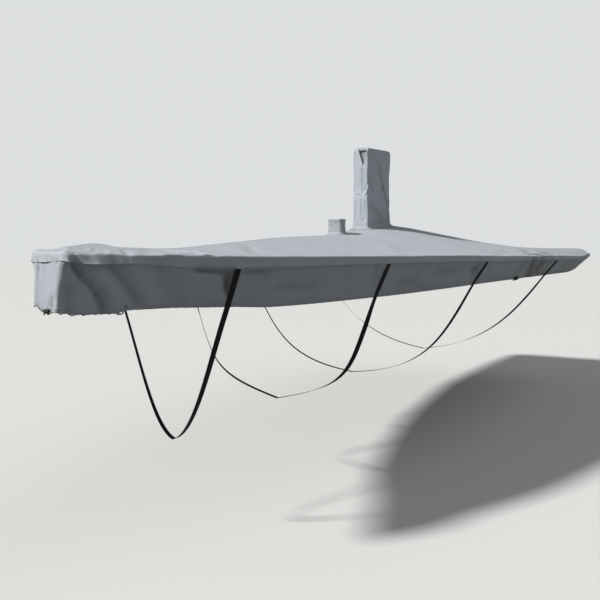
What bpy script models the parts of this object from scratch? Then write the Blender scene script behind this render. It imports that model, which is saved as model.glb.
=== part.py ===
# Fitted boat cover of grey canvas: two top halves with a turned-down facing, side skirts,
# bow and stern panels, an open collar, a tall closed sock, four belly straps and hem loops.
# Metres, +Z up. +X runs aft, -Y is port. "Station" is the distance aft of the bow datum,
# "half" the distance out from the centreline, "depth" the distance down from the sheer edge.

import math

import bmesh
import bpy
import numpy as np

CLOTH = 0.002                 # thickness of the canvas
SEAM_GAP = 0.0006             # space left between two panels along a seam
ORIGIN_STATION = 3.65         # station of the frame's origin, at mid length

BOW_STATION = -0.060
STERN_STATION = 7.320
BOW_CORNER = 0.040            # rounding of the two plan corners at each end
STERN_CORNER = 0.070
CORNER_STEPS = 5
FIRST_SIDE_STATION = 0.05
BOW_RAKE = -0.10              # slope of the end panels, inward for each metre down
STERN_RAKE = 0.16
END_SPAN = 0.30               # length of side over which that slope fades out

# One row for each cross-section. roll is the radius of the sheer edge, eave the depth of the
# seam under the facing, tuck how far the skirt is set in under it, drop the depth of the hem,
# lean the slope of the skirt towards the centreline, shoulder the height of the raised crown
# along the edge, square how squarely that crown drops to the edge, and peak how steeply the
# cloth draws up to the ridge.
SECTION_COLUMNS = (
    "station", "half", "sheer", "shoulder", "roll", "eave", "tuck", "drop", "lean", "peak", "square",
)
SECTIONS = (
    (-0.06, 0.108, 0.018, 0.000, 0.036, 0.043, 0.022, 0.262, 0.041, 1.25, 8),
    (0.05, 0.136, 0.012, 0.004, 0.036, 0.048, 0.012, 0.271, 0.17, 1.25, 8),
    (0.20, 0.196, 0.006, 0.008, 0.032, 0.041, 0.007, 0.268, 0.26, 1.25, 8),
    (0.50, 0.334, 0.002, 0.004, 0.024, 0.060, 0.006, 0.259, 0.40, 1.25, 8),
    (0.75, 0.457, -0.002, 0.000, 0.020, 0.062, 0.006, 0.261, 0.48, 1.25, 8),
    (1.00, 0.562, -0.004, 0.000, 0.020, 0.056, 0.005, 0.271, 0.46, 1.25, 8),
    (1.80, 0.798, -0.003, 0.000, 0.020, 0.046, 0.004, 0.255, 0.45, 1.25, 8),
    (2.60, 1.010, 0.001, 0.000, 0.020, 0.044, 0.004, 0.232, 0.585, 1.25, 8),
    (3.30, 1.138, -0.003, 0.010, 0.020, 0.042, 0.004, 0.205, 0.68, 1.25, 8),
    (4.60, 1.276, -0.001, 0.053, 0.022, 0.040, 0.004, 0.186, 0.84, 1.65, 8),
    (6.00, 1.258, -0.006, 0.062, 0.024, 0.040, 0.004, 0.184, 0.94, 2.30, 10),
    (7.32, 1.192, 0.030, 0.058, 0.026, 0.042, 0.004, 0.200, 1.04, 4.50, 24),
)
TUCK_DEPTH = 0.025            # depth over which the skirt sets in

# Height of the ridge along the centreline.
RIDGE_COLUMNS = ("station", "height")
RIDGE = (
    (0.04, 0.036),
    (0.21, 0.052),
    (0.36, 0.036),
    (0.65, 0.032),
    (1.20, 0.066),
    (1.80, 0.112),
    (2.60, 0.152),
    (3.10, 0.215),
    (3.55, 0.258),
    (4.10, 0.247),
    (4.80, 0.216),
    (5.80, 0.174),
    (7.32, 0.137),
)
RIDGE_START = 0.04
RIDGE_END = 7.24
STRAIGHT_FROM = 0.30          # between these stations the section lines run square across
STRAIGHT_TO = 7.00
RIDGE_SOFTNESS = 0.06
RIDGE_FLAT = 0.028            # share of the way out that lies level along the centre seam

# Folds of the cloth. Each runs from (station, depth) to (station, depth); a depth under zero
# lies on the top, that far in from the edge. A negative rise is a trough.
FOLD_COLUMNS = ("side", "station_a", "depth_a", "station_b", "depth_b", "width", "rise")
FOLDS = (
    ("port", -0.022, 0.190, -0.022, 0.280, 0.045, -0.014),
    ("port", -0.030, 0.050, 0.142, 0.258, 0.019, -0.018),
    ("port", 0.070, 0.060, 0.180, 0.210, 0.030, 0.008),
    ("port", 0.143, 0.050, 0.290, 0.215, 0.028, -0.013),
    ("port", 0.240, 0.070, 0.360, 0.240, 0.036, 0.006),
    ("port", 0.335, 0.055, 0.475, 0.225, 0.045, -0.008),
    ("port", 0.217, -0.020, 0.250, -0.085, 0.020, -0.009),
    ("port", 0.299, -0.030, 0.475, -0.235, 0.030, -0.005),
    ("port", 0.610, -0.028, 0.543, -0.300, 0.030, -0.006),
    ("port", 0.525, 0.070, 0.645, 0.080, 0.018, -0.010),
    ("port", 0.672, 0.085, 0.712, 0.160, 0.030, -0.013),
    ("port", 0.800, 0.095, 0.886, 0.100, 0.022, -0.006),
    ("port", 1.007, 0.160, 1.230, 0.170, 0.045, -0.007),
    ("port", 0.951, -0.120, 1.236, -0.480, 0.035, -0.006),
    ("port", 1.700, 0.075, 1.740, 0.160, 0.035, -0.009),
    ("port", 2.015, 0.185, 2.140, 0.140, 0.050, -0.007),
    ("port", 2.006, -0.111, 2.480, -0.500, 0.045, 0.006),
    ("port", 2.334, 0.110, 2.540, 0.100, 0.045, -0.006),
    ("port", 2.800, 0.080, 2.890, 0.150, 0.045, -0.011),
    ("port", 3.840, 0.040, 4.050, 0.185, 0.045, -0.014),
    ("port", 4.020, 0.015, 4.150, 0.110, 0.040, -0.012),
    ("port", 3.968, -0.045, 4.316, -0.200, 0.045, -0.009),
    ("port", 4.466, -0.084, 4.620, -0.040, 0.040, -0.008),
    ("port", 5.300, 0.080, 5.700, 0.100, 0.070, -0.006),
    ("starboard", -0.022, 0.020, -0.022, 0.200, 0.075, 0.013),
    ("starboard", 0.040, 0.045, 0.170, 0.250, 0.024, -0.013),
    ("starboard", 0.220, 0.060, 0.330, 0.230, 0.036, -0.009),
    ("starboard", 0.640, 0.080, 0.700, 0.160, 0.030, -0.009),
    ("starboard", 1.250, 0.110, 1.500, 0.150, 0.050, -0.006),
    ("starboard", 1.860, 0.075, 1.900, 0.160, 0.035, -0.009),
    ("starboard", 2.300, -0.070, 2.180, -0.320, 0.035, 0.006),
    ("starboard", 3.050, 0.070, 3.100, 0.140, 0.040, -0.010),
    ("starboard", 3.950, 0.020, 4.080, 0.170, 0.050, -0.012),
    ("starboard", 4.480, 0.030, 4.440, 0.140, 0.045, -0.009),
    ("starboard", 5.900, 0.060, 6.150, 0.120, 0.070, -0.006),
)

# The drawcord gathers the hem up at one corner of the bow: by how much, over which reach it
# comes up and over which station it runs out again.
GATHER_SIDE = "starboard"
GATHER_RISE = 0.028
GATHER_REACH = (-0.005, 0.085)
GATHER_END = (0.03, 0.20)

# Mesh columns along the edge: spacing used from each station on.
SPACING_COLUMNS = ("from_station", "spacing")
SPACINGS = (
    (0.00, 0.027), (0.32, 0.050), (0.80, 0.11), (1.30, 0.24), (3.80, 0.06), (4.20, 0.24),
)
BOW_COLUMNS = 3
STERN_COLUMNS = 7
TOP_STEPS_ACROSS = (0.20, 0.48, 0.74, 0.92, 1.00)
SLEEVE_LINE = 0.105           # a mesh line this far out from the centreline, past the sleeves
SLEEVE_LINE_SPAN = 0.50       # half breadth below which that line draws in
ROLL_ANGLES = (35, 65, 90)
SKIRT_STEPS = (0.0, 0.14, 0.34, 0.56, 0.78, 1.0)

# Belly straps. Below the hem each follows a smooth curve down to the centreline, keel below
# the datum: fall is how much of the height it first runs straight on, spread and rise give
# the half breadth and slope with which it comes to the centreline, and slope how it leaves
# the hem. turn is how many degrees its aft edge stands out where it hangs free.
STRAP_COLUMNS = ("station", "keel", "fall", "spread", "rise", "slope", "turn")
STRAPS = (
    (0.74, 0.985, 0.41, 0.41, 0.33, 0.40, 0.0),
    (1.80, 0.950, 0.72, 0.80, 0.24, 0.40, 24.0),
    (2.95, 0.940, 0.61, 0.63, 0.10, 0.56, 12.0),
    (4.60, 0.940, 0.58, 0.52, 0.14, 0.75, 32.0),
)
STRAP_WIDTH = 0.030
STRAP_THICKNESS = 0.002
STRAP_LIFT = 0.0005           # space between a strap and the skirt under it
STRAP_ARC_STEPS = 10
STRAP_RELIEF = 0.055          # columns this far to each side of a strap, for the drawn-in cloth

# Sleeves: upright tubes of rounded rectangular plan, their base flared onto the top.
COLLAR = {
    "front": 2.614, "aft": 2.708, "half_width": 0.062, "corner": 0.026,
    "top": 0.270, "top_rise": 0.0, "flare": 0.022,
}
SOCK = {                      # its top rises a little from front to aft
    "front": 3.076, "aft": 3.547, "half_width": 0.070, "corner": 0.014,
    "top": 0.866, "top_rise": 0.028, "flare": 0.030,
}
SLEEVE_CORNER_STEPS = 3
SLEEVE_SIDE_STEPS = 4         # mesh steps along each flat side of a sleeve
SLEEVE_FLARE_ANGLES = (0, 30, 60, 90)
# Rings of the sock above its base: height as a share of the way up, shifts of the two ends
# aft, and the change of half width.
SOCK_RING_COLUMNS = ("share", "front_shift", "aft_shift", "widen")
SOCK_RINGS = (
    (0.16, 0.003, -0.010, -0.002),
    (0.32, 0.000, -0.018, -0.005),
    (0.48, 0.006, -0.021, -0.002),
    (0.62, 0.002, -0.016, -0.006),
    (0.76, -0.001, -0.008, -0.002),
    (0.88, 0.001, -0.001, -0.003),
    (0.96, 0.003, -0.004, -0.004),
    (0.988, 0.010, -0.016, -0.010),
    (1.0, 0.028, -0.040, -0.026),
)
SOCK_TUCK_DEPTH = 0.020       # folded-in corner at the top of the front face
SOCK_TUCK_TOP = 0.045         # half width of the tuck at the top
SOCK_TUCK_PLACE = -0.025      # its middle, to port of the sock's own
SOCK_TUCK_HEIGHT = 0.105
COLLAR_RINGS = (
    (0.45, 0.003, -0.002, -0.002),
    (0.80, 0.001, -0.003, -0.003),
    (1.0, 0.0, 0.0, 0.0),
)

# Cord loops sewn to the hem.
LOOP_COLUMNS = ("station", "width", "hang")
LOOPS = ((0.226, 0.044, 0.007), (3.750, 0.080, 0.010))
LOOP_CORD_RADIUS = 0.003
LOOP_LIFT = 0.0008            # space between the cord and the skirt
LOOP_SEAT = 0.024             # length of each end that lies on the skirt
LOOP_POINTS = 9
# Drawcord in the hem round the bow, from one side's first loop to the other's.
BOW_CORD_RADIUS = 0.0025
BOW_CORD_GAP = 0.0006         # space between the cord and the hem
BOW_CORD_END = 0.190          # station of its ends

CANVAS = {"color": (0.42, 0.45, 0.48, 1.0), "roughness": 0.85}
WEBBING = {"color": (0.012, 0.012, 0.013, 1.0), "roughness": 0.7}
CORD = {"color": (0.015, 0.015, 0.016, 1.0), "roughness": 0.6}

SIDES = {"port": -1, "starboard": 1}


def as_rows(columns, rows):
    return [dict(zip(columns, row)) for row in rows]


def smooth_curve(places, values):
    """A curve through the given values that doesn't overshoot them."""
    places = np.array(places, float)
    values = np.array(values, float)
    steps = np.diff(places)
    slopes = np.diff(values) / steps
    tangents = np.zeros(len(places))
    for i in range(1, len(places) - 1):
        if slopes[i - 1] * slopes[i] > 0:
            tangents[i] = 2 * slopes[i - 1] * slopes[i] / (slopes[i - 1] + slopes[i])
    tangents[0] = slopes[0]
    tangents[-1] = slopes[-1]

    def value_at(place):
        place = min(max(place, places[0]), places[-1])
        i = min(int(np.searchsorted(places, place, side="right")) - 1, len(steps) - 1)
        t = (place - places[i]) / steps[i]
        rise = values[i + 1] - values[i]
        start = tangents[i] * steps[i]
        end = tangents[i + 1] * steps[i]
        return values[i] + t * start + t * t * (3 * rise - 2 * start - end) + t**3 * (start + end - 2 * rise)

    return value_at


SECTION_CURVES = {
    name: smooth_curve([row[0] for row in SECTIONS], [row[i] for row in SECTIONS])
    for i, name in enumerate(SECTION_COLUMNS)
}
ridge_height = smooth_curve([row[0] for row in RIDGE], [row[1] for row in RIDGE])


def smooth_step(value, low, high):
    share = min(max((value - low) / (high - low), 0.0), 1.0)
    return share * share * (3.0 - 2.0 * share)


def section(station):
    return {name: curve(station) for name, curve in SECTION_CURVES.items()}


# ---- the sheer edge in plan -------------------------------------------------------------


def rounded_corner(before, corner, after, radius):
    """Points of a curve that replaces a corner, from the line before it to the line after."""
    start = corner + (before - corner) / np.linalg.norm(before - corner) * radius
    end = corner + (after - corner) / np.linalg.norm(after - corner) * radius
    points = []
    for i in range(CORNER_STEPS + 1):
        t = i / CORNER_STEPS
        points.append((1 - t) ** 2 * start + 2 * t * (1 - t) * corner + t * t * end)
    return points


def edge_outline():
    """The edge from the bow's centre to the stern's, as (station, half) points."""
    side = [
        np.array([station, SECTION_CURVES["half"](station)])
        for station in np.linspace(FIRST_SIDE_STATION, STERN_STATION - 0.12, 150)
    ]
    bow_corner = np.array([BOW_STATION, SECTION_CURVES["half"](BOW_STATION)])
    stern_corner = np.array([STERN_STATION, SECTION_CURVES["half"](STERN_STATION)])
    bow_centre = np.array([BOW_STATION, 0.0])
    stern_centre = np.array([STERN_STATION, 0.0])
    return (
        [bow_centre]
        + rounded_corner(bow_centre, bow_corner, side[0], BOW_CORNER)
        + side
        + rounded_corner(side[-1], stern_corner, stern_centre, STERN_CORNER)
        + [stern_centre]
    )


OUTLINE = np.array(edge_outline())
REACHES = np.concatenate([[0.0], np.cumsum(np.linalg.norm(np.diff(OUTLINE, axis=0), axis=1))])
REACH_END = REACHES[-1]
BOW_FLAT = REACHES[1]         # where the straight part of each end meets its corner
STERN_FLAT = REACHES[-2]
BOW_SEAM = REACHES[1 + CORNER_STEPS]
STERN_SEAM = REACHES[-2 - CORNER_STEPS]


def edge_point(reach):
    return np.array([np.interp(reach, REACHES, OUTLINE[:, i]) for i in (0, 1)])


def edge_normal(reach):
    """Outward direction of the edge in plan."""
    step = 0.006
    ahead = edge_point(min(reach + step, REACH_END))
    behind = edge_point(max(reach - step, 0.0))
    along = (ahead - behind) / np.linalg.norm(ahead - behind)
    normal = np.array([-along[1], along[0]])
    if reach < step:
        normal = np.array([-1.0, 0.0])
    if reach > REACH_END - step:
        normal = np.array([1.0, 0.0])
    return normal


def reach_at(station):
    """The reach of a station on the side of the cover."""
    side = slice(1 + CORNER_STEPS, len(OUTLINE) - 1 - CORNER_STEPS)
    return float(np.interp(station, OUTLINE[side, 0], REACHES[side]))


def spine_station(reach):
    """Where on the centreline the section line from this point of the edge ends."""
    first = reach_at(STRAIGHT_FROM)
    last = reach_at(STRAIGHT_TO)
    if reach < first:
        share = max(0.0, reach - BOW_FLAT) / (first - BOW_FLAT)
        return RIDGE_START + (STRAIGHT_FROM - RIDGE_START) * share
    if reach > last:
        share = min(1.0, (reach - last) / (STERN_FLAT - last))
        return STRAIGHT_TO + (RIDGE_END - STRAIGHT_TO) * share
    return edge_point(reach)[0]


# ---- the surface ------------------------------------------------------------------------


def fold_rise(side, reach, depth):
    """How far the folds lift the cloth along its outward normal."""
    total = 0.0
    place = np.array([reach, depth])
    for fold in as_rows(FOLD_COLUMNS, FOLDS):
        if fold["side"] != side:
            continue
        start = np.array([reach_at(fold["station_a"]), fold["depth_a"]])
        end = np.array([reach_at(fold["station_b"]), fold["depth_b"]])
        along = end - start
        share = np.clip(np.dot(place - start, along) / np.dot(along, along), 0.0, 1.0)
        distance = np.linalg.norm(place - start - share * along)
        total += fold["rise"] * math.exp(-((distance / fold["width"]) ** 2))
    return total


def tent_height(share, ridge, here):
    """Height of the top, from share 0 on the centreline to share 1 at the edge."""
    past_flat = max(share - RIDGE_FLAT, 0.0) / (1.0 - RIDGE_FLAT)
    soft = math.hypot(past_flat, RIDGE_SOFTNESS) - RIDGE_SOFTNESS
    soft /= math.hypot(1.0, RIDGE_SOFTNESS) - RIDGE_SOFTNESS
    crown = here["shoulder"] * (1.0 - share ** here["square"])
    peak = ridge - here["sheer"] - here["shoulder"]
    return here["sheer"] + crown + peak * max(1.0 - soft, 0.0) ** here["peak"]


def top_height(station, half):
    """Height of the top at a place well inside its edge."""
    here = section(station)
    share = abs(half) / (here["half"] - here["roll"])
    return tent_height(share, ridge_height(station), here)


def world(side, station, half, height):
    return (station - ORIGIN_STATION, SIDES[side] * half, height)


def top_point(side, reach, inner_share):
    """A point of the top: share 0 on the centreline, 1 where the edge starts to roll over."""
    edge = edge_point(reach)
    here = section(edge[0])
    outer = edge - edge_normal(reach) * here["roll"]
    spine = np.array([spine_station(reach), 0.0])
    place = spine + (outer - spine) * inner_share
    height = tent_height(inner_share, ridge_height(place[0]), here)
    inward = np.linalg.norm(edge - place)
    height += fold_rise(side, reach, -inward)
    return world(side, place[0], max(place[1], SEAM_GAP / 2), height)


def roll_point(side, reach, angle):
    """A point of the rolled edge, from angle 0 level with the top to 90 on the side."""
    edge = edge_point(reach)
    normal = edge_normal(reach)
    here = section(edge[0])
    turn = math.radians(angle)
    rise = fold_rise(side, reach, here["roll"] * (turn - 1.0))
    out = (here["roll"] + rise) * math.sin(turn) - here["roll"]
    place = edge + normal * out
    height = here["sheer"] - here["roll"] + (here["roll"] + rise) * math.cos(turn)
    return world(side, place[0], max(place[1], SEAM_GAP / 2), height)


def leaned(edge, here, depth):
    """The edge's plan point, drawn in as the skirt slopes inward below the upright facing."""
    below = max(depth - here["eave"], 0.0)
    near_bow = max(0.0, 1.0 - (edge[0] - BOW_STATION) / END_SPAN)
    near_stern = max(0.0, 1.0 - (STERN_STATION - edge[0]) / END_SPAN)
    station = edge[0] + below * (BOW_RAKE * near_bow - STERN_RAKE * near_stern)
    drawn_in = here["lean"] * below + here["tuck"] * (1.0 - math.exp(-below / TUCK_DEPTH))
    return np.array([station, edge[1] * (1.0 - drawn_in / here["half"])])


def side_point(side, reach, depth, lift=0.0):
    """A point of the facing or the skirt at a depth under the sheer edge."""
    edge = edge_point(reach)
    here = section(edge[0])
    out = fold_rise(side, reach, depth) + lift
    place = leaned(edge, here, depth) + edge_normal(reach) * out
    return world(side, place[0], max(place[1], SEAM_GAP / 2), here["sheer"] - depth)


def seam_depth(reach):
    return section(edge_point(reach)[0])["eave"]


def hem_depth(side, reach):
    station = edge_point(reach)[0]
    drop = section(station)["drop"]
    if side == GATHER_SIDE:
        drop -= GATHER_RISE * smooth_step(reach, *GATHER_REACH) * (1.0 - smooth_step(station, *GATHER_END))
    return drop


# ---- mesh helpers -----------------------------------------------------------------------


def material(name, look):
    found = bpy.data.materials.get(name)
    if found:
        return found
    made = bpy.data.materials.new(name)
    made.use_nodes = True
    shader = made.node_tree.nodes["Principled BSDF"]
    shader.inputs["Base Color"].default_value = look["color"]
    shader.inputs["Roughness"].default_value = look["roughness"]
    shader.inputs["Metallic"].default_value = 0.0
    made.diffuse_color = look["color"]
    return made


def new_object(name, mesh, look_name, look):
    mesh.materials.append(material(look_name, look))
    made = bpy.data.objects.new(name, mesh)
    bpy.context.scene.collection.objects.link(made)
    return made


def sheet_mesh(name, rows, closed=False, flip=False, caps=()):
    """A mesh from rows of points; closed joins each row's ends, caps fills whole rows."""
    made = bmesh.new()
    grid = [[made.verts.new(point) for point in row] for row in rows]
    length = len(grid[0])
    for upper, lower in zip(grid, grid[1:]):
        for i in range(length if closed else length - 1):
            j = (i + 1) % length
            corners = [upper[i], upper[j], lower[j], lower[i]]
            made.faces.new(corners[::-1] if flip else corners)
    for row in caps:
        made.faces.new(grid[row][::-1] if flip else grid[row])
    bmesh.ops.remove_doubles(made, verts=made.verts, dist=0.00005)
    mesh = bpy.data.meshes.new(name)
    made.to_mesh(mesh)
    made.free()
    return mesh


def thicken(thing, thickness, outward=False):
    solid = thing.modifiers.new("Cloth thickness", "SOLIDIFY")
    solid.thickness = thickness
    solid.offset = 1.0 if outward else -1.0
    solid.use_even_offset = False
    solid.use_rim = True
    return thing


def cut(thing, cutter):
    hole = thing.modifiers.new("Opening", "BOOLEAN")
    hole.operation = "DIFFERENCE"
    hole.object = cutter
    hole.solver = "EXACT"


# ---- panels -----------------------------------------------------------------------------


def side_columns():
    """Reaches of the mesh columns between the bow seam and the stern seam."""
    rows = as_rows(SPACING_COLUMNS, SPACINGS)
    ends = [row["from_station"] for row in rows[1:]] + [STERN_STATION - 0.12]
    stations = []
    for row, end in zip(rows, ends):
        count = max(1, round((end - row["from_station"]) / row["spacing"]))
        stations += list(np.linspace(row["from_station"], end, count, endpoint=False))
    straps = as_rows(STRAP_COLUMNS, STRAPS)
    nearby = (-STRAP_RELIEF, -STRAP_WIDTH / 2, STRAP_WIDTH / 2, STRAP_RELIEF)
    fixed = [strap["station"] + offset for strap in straps for offset in nearby]
    for loop in as_rows(LOOP_COLUMNS, LOOPS):
        fixed += [loop["station"] - loop["width"] / 2, loop["station"] + loop["width"] / 2]
    keep_away = 0.016
    stations = [s for s in stations if min(abs(s - f) for f in fixed) > keep_away]
    reaches = sorted(reach_at(station) for station in stations + fixed)
    return [BOW_SEAM] + [r for r in reaches if BOW_SEAM + 0.004 < r < STERN_SEAM - 0.01] + [STERN_SEAM]


def bow_columns():
    """Reaches from the bow's centre to its corner seam."""
    corner = list(REACHES[1 : 2 + CORNER_STEPS])
    return list(np.linspace(0.0, corner[0], BOW_COLUMNS, endpoint=False)) + corner


def stern_columns():
    """Reaches from the stern's corner seam to its centre."""
    corner = list(REACHES[-2 - CORNER_STEPS : -1])
    return corner + list(np.linspace(corner[-1], REACH_END, STERN_COLUMNS + 1))[1:]


def with_seams(columns, first, last):
    """The same columns, drawn in by half a seam's gap at the ends that meet a neighbour."""
    drawn = list(columns)
    if first:
        drawn[0] += SEAM_GAP / 2
    if last:
        drawn[-1] -= SEAM_GAP / 2
    return drawn


def inner_shares(reach):
    """Shares of the way out from the centreline at which the top has its lines."""
    edge = edge_point(reach)
    here = section(edge[0])
    outer = edge - edge_normal(reach) * here["roll"]
    length = np.linalg.norm(outer - np.array([spine_station(reach), 0.0]))
    sleeve_line = SLEEVE_LINE * min(1.0, length / SLEEVE_LINE_SPAN) / length
    rest = [sleeve_line + (1.0 - sleeve_line) * step for step in TOP_STEPS_ACROSS]
    return [0.0, RIDGE_FLAT, sleeve_line] + rest


def top_half(side, cutters):
    columns = bow_columns() + side_columns()[1:] + stern_columns()[1:]
    lines = []
    for reach in columns:
        line = [top_point(side, reach, share) for share in inner_shares(reach)]
        line += [roll_point(side, reach, angle) for angle in ROLL_ANGLES]
        line.append(side_point(side, reach, seam_depth(reach) - SEAM_GAP / 2))
        lines.append(line)
    mesh = sheet_mesh("top_" + side, lines, flip=side == "starboard")
    panel = thicken(new_object("top_" + side, mesh, "canvas", CANVAS), CLOTH)
    for cutter in cutters:
        cut(panel, cutter)


def skirt_top(side, reach):
    """Depth of a skirt's upper edge, low enough for its slanted rim to clear the facing."""
    seam = seam_depth(reach) + SEAM_GAP / 2
    step = (hem_depth(side, reach) - seam) * SKIRT_STEPS[1]
    upper = np.array(side_point(side, reach, seam))
    lower = np.array(side_point(side, reach, seam + step))
    inward = np.hypot(*(lower - upper)[:2])
    return seam + CLOTH * inward / math.hypot(inward, step)


def skirt_line(side, reach):
    """The points of one column of a skirt, from the seam down to the hem."""
    top = skirt_top(side, reach)
    hem = hem_depth(side, reach)
    return [side_point(side, reach, top + (hem - top) * step) for step in SKIRT_STEPS]


def skirt(side):
    columns = with_seams(side_columns(), True, True)
    mesh = sheet_mesh(
        "skirt_" + side, [skirt_line(side, reach) for reach in columns], flip=side == "starboard"
    )
    thicken(new_object("skirt_" + side, mesh, "canvas", CANVAS), CLOTH)


def end_panel(name, columns, port_first):
    """A panel across the bow or the stern, from one corner seam round to the other."""
    port = [skirt_line("port", reach) for reach in columns]
    starboard = [skirt_line("starboard", reach) for reach in columns]
    for line in (port, starboard):
        centre = 0 if port_first else -1
        line[centre] = [(x, 0.0, z) for x, _, z in line[centre]]
    if port_first:
        lines = starboard[::-1] + port[1:]
    else:
        lines = port + starboard[::-1][1:]
    mesh = sheet_mesh(name, lines)
    thicken(new_object(name, mesh, "canvas", CANVAS), CLOTH)


# ---- collar and sock --------------------------------------------------------------------


def rounded_rectangle(front, aft, half_width, corner):
    """Plan points (station, across) of an upright sleeve, going round once."""
    centres = (
        (aft - corner, half_width - corner),
        (front + corner, half_width - corner),
        (front + corner, corner - half_width),
        (aft - corner, corner - half_width),
    )

    def on_corner(number, step):
        x, y = centres[number % 4]
        turn = math.radians(90 * (number % 4) + 90 * step / SLEEVE_CORNER_STEPS)
        return x + corner * math.cos(turn), y + corner * math.sin(turn)

    points = []
    for number in range(4):
        points += [on_corner(number, step) for step in range(SLEEVE_CORNER_STEPS + 1)]
        start, end = points[-1], on_corner(number + 1, 0)
        for step in range(1, SLEEVE_SIDE_STEPS):
            share = step / SLEEVE_SIDE_STEPS
            points.append(tuple(a + (b - a) * share for a, b in zip(start, end)))
    return points


def tuck(station, across, height):
    """How far the folded corner draws the sock's front face in, at a place on it."""
    below = (SOCK["top"] - height) / SOCK_TUCK_HEIGHT
    if below >= 1.0 or station > SOCK["front"] + SOCK["corner"]:
        return 0.0
    half = SOCK_TUCK_TOP * (1.0 - below)
    inside = max(0.0, 1.0 - abs(across - SOCK_TUCK_PLACE) / max(half, 0.001))
    return SOCK_TUCK_DEPTH * min(1.0, inside * 1.6) * min(1.0, 2 * (1.0 - below))


def sleeve(name, shape, rings, closed_top):
    """An upright tube whose foot flares out onto the top; a closed one is capped."""
    rows = []
    for angle in SLEEVE_FLARE_ANGLES:
        turn = math.radians(angle)
        spread = shape["flare"] * (1.0 - math.sin(turn))
        rise = shape["flare"] * (1.0 - math.cos(turn))
        plan = rounded_rectangle(
            shape["front"] - spread, shape["aft"] + spread,
            shape["half_width"] + spread, shape["corner"] + spread,
        )
        rows.append([(x, y, top_height(x, y) + rise) for x, y in plan])
    foot = [point[2] for point in rows[-1]]
    for ring in as_rows(SOCK_RING_COLUMNS, rings):
        plan = rounded_rectangle(
            shape["front"] + ring["front_shift"], shape["aft"] + ring["aft_shift"],
            shape["half_width"] + ring["widen"], shape["corner"],
        )
        row = []
        for (x, y), low in zip(plan, foot):
            along = (x - shape["front"]) / (shape["aft"] - shape["front"])
            top = shape["top"] + shape["top_rise"] * along
            height = low + (top - low) * ring["share"]
            inward = tuck(x, y, height) if closed_top else 0.0
            row.append((x + inward, y, height))
        rows.append(row)
    placed = [[(x - ORIGIN_STATION, y, z) for x, y, z in row] for row in rows]
    mesh = sheet_mesh(name, placed, closed=True, flip=False, caps=(-1,) if closed_top else ())
    return thicken(new_object(name, mesh, "canvas", CANVAS), CLOTH)


def sleeve_cutter(name, shape):
    """A hidden prism that cuts the top where a sleeve's foot stands."""
    spread = shape["flare"] + SEAM_GAP
    plan = rounded_rectangle(
        shape["front"] - spread, shape["aft"] + spread,
        shape["half_width"] + spread, shape["corner"] + spread,
    )
    rows = [[(x - ORIGIN_STATION, y, z) for x, y in plan] for z in (0.5, 0.0)]
    mesh = sheet_mesh(name, rows, closed=True, flip=True, caps=(-1,))
    made = bmesh.new()
    made.from_mesh(mesh)
    bmesh.ops.holes_fill(made, edges=made.edges)
    bmesh.ops.recalc_face_normals(made, faces=made.faces)
    made.to_mesh(mesh)
    made.free()
    cutter = bpy.data.objects.new(name, mesh)
    bpy.context.scene.collection.objects.link(cutter)
    cutter.hide_render = True
    cutter.display_type = "WIRE"
    return cutter


# ---- straps and loops -------------------------------------------------------------------


def strap_line(side, reach, row, across):
    """One edge of a strap, from its head under the facing down to the centreline."""
    head = seam_depth(reach) + SEAM_GAP * 2
    top = skirt_top(side, reach)
    hem = hem_depth(side, reach)
    depths = [head] + [top + (hem - top) * step for step in SKIRT_STEPS[1:]]
    points = [side_point(side, reach, depth, STRAP_LIFT) for depth in depths]
    x, y, start = points[-1]
    fall = row["fall"] * (start + row["keel"])
    half = abs(y)
    handles = (
        (half, start),
        (half - row["slope"] * fall, start - fall),
        (half * row["spread"], half * row["spread"] * row["rise"] - row["keel"]),
        (0.0, -row["keel"]),
    )
    for i in range(1, STRAP_ARC_STEPS + 1):
        t = i / STRAP_ARC_STEPS
        weights = ((1 - t) ** 3, 3 * t * (1 - t) ** 2, 3 * t * t * (1 - t), t**3)
        out = sum(weight * handle[0] for weight, handle in zip(weights, handles))
        height = sum(weight * handle[1] for weight, handle in zip(weights, handles))
        turned = math.radians(row["turn"]) * smooth_step(t, 0.0, 0.15) * (1.0 - smooth_step(t, 0.3, 0.9))
        out += across * math.sin(turned)
        points.append((x - across * (1.0 - math.cos(turned)), SIDES[side] * out, height))
    return points


def belly_strap(number, row):
    lines = []
    for offset in (-STRAP_WIDTH / 2, STRAP_WIDTH / 2):
        reach = reach_at(row["station"] + offset)
        port = strap_line("port", reach, row, offset)
        lines.append(port + strap_line("starboard", reach, row, offset)[::-1][1:])
    name = f"strap_{number}"
    strap = new_object(name, sheet_mesh(name, lines), "webbing", WEBBING)
    thicken(strap, STRAP_THICKNESS, outward=True)


def cord_along(name, points, radius):
    """A round cord whose middle follows the points."""
    curve = bpy.data.curves.new(name, "CURVE")
    curve.dimensions = "3D"
    curve.bevel_depth = radius
    curve.bevel_resolution = 1
    curve.use_fill_caps = True
    spline = curve.splines.new("POLY")
    spline.points.add(len(points) - 1)
    for spline_point, place in zip(spline.points, points):
        spline_point.co = (*place, 1.0)
    new_object(name, curve, "cord", CORD)


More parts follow.
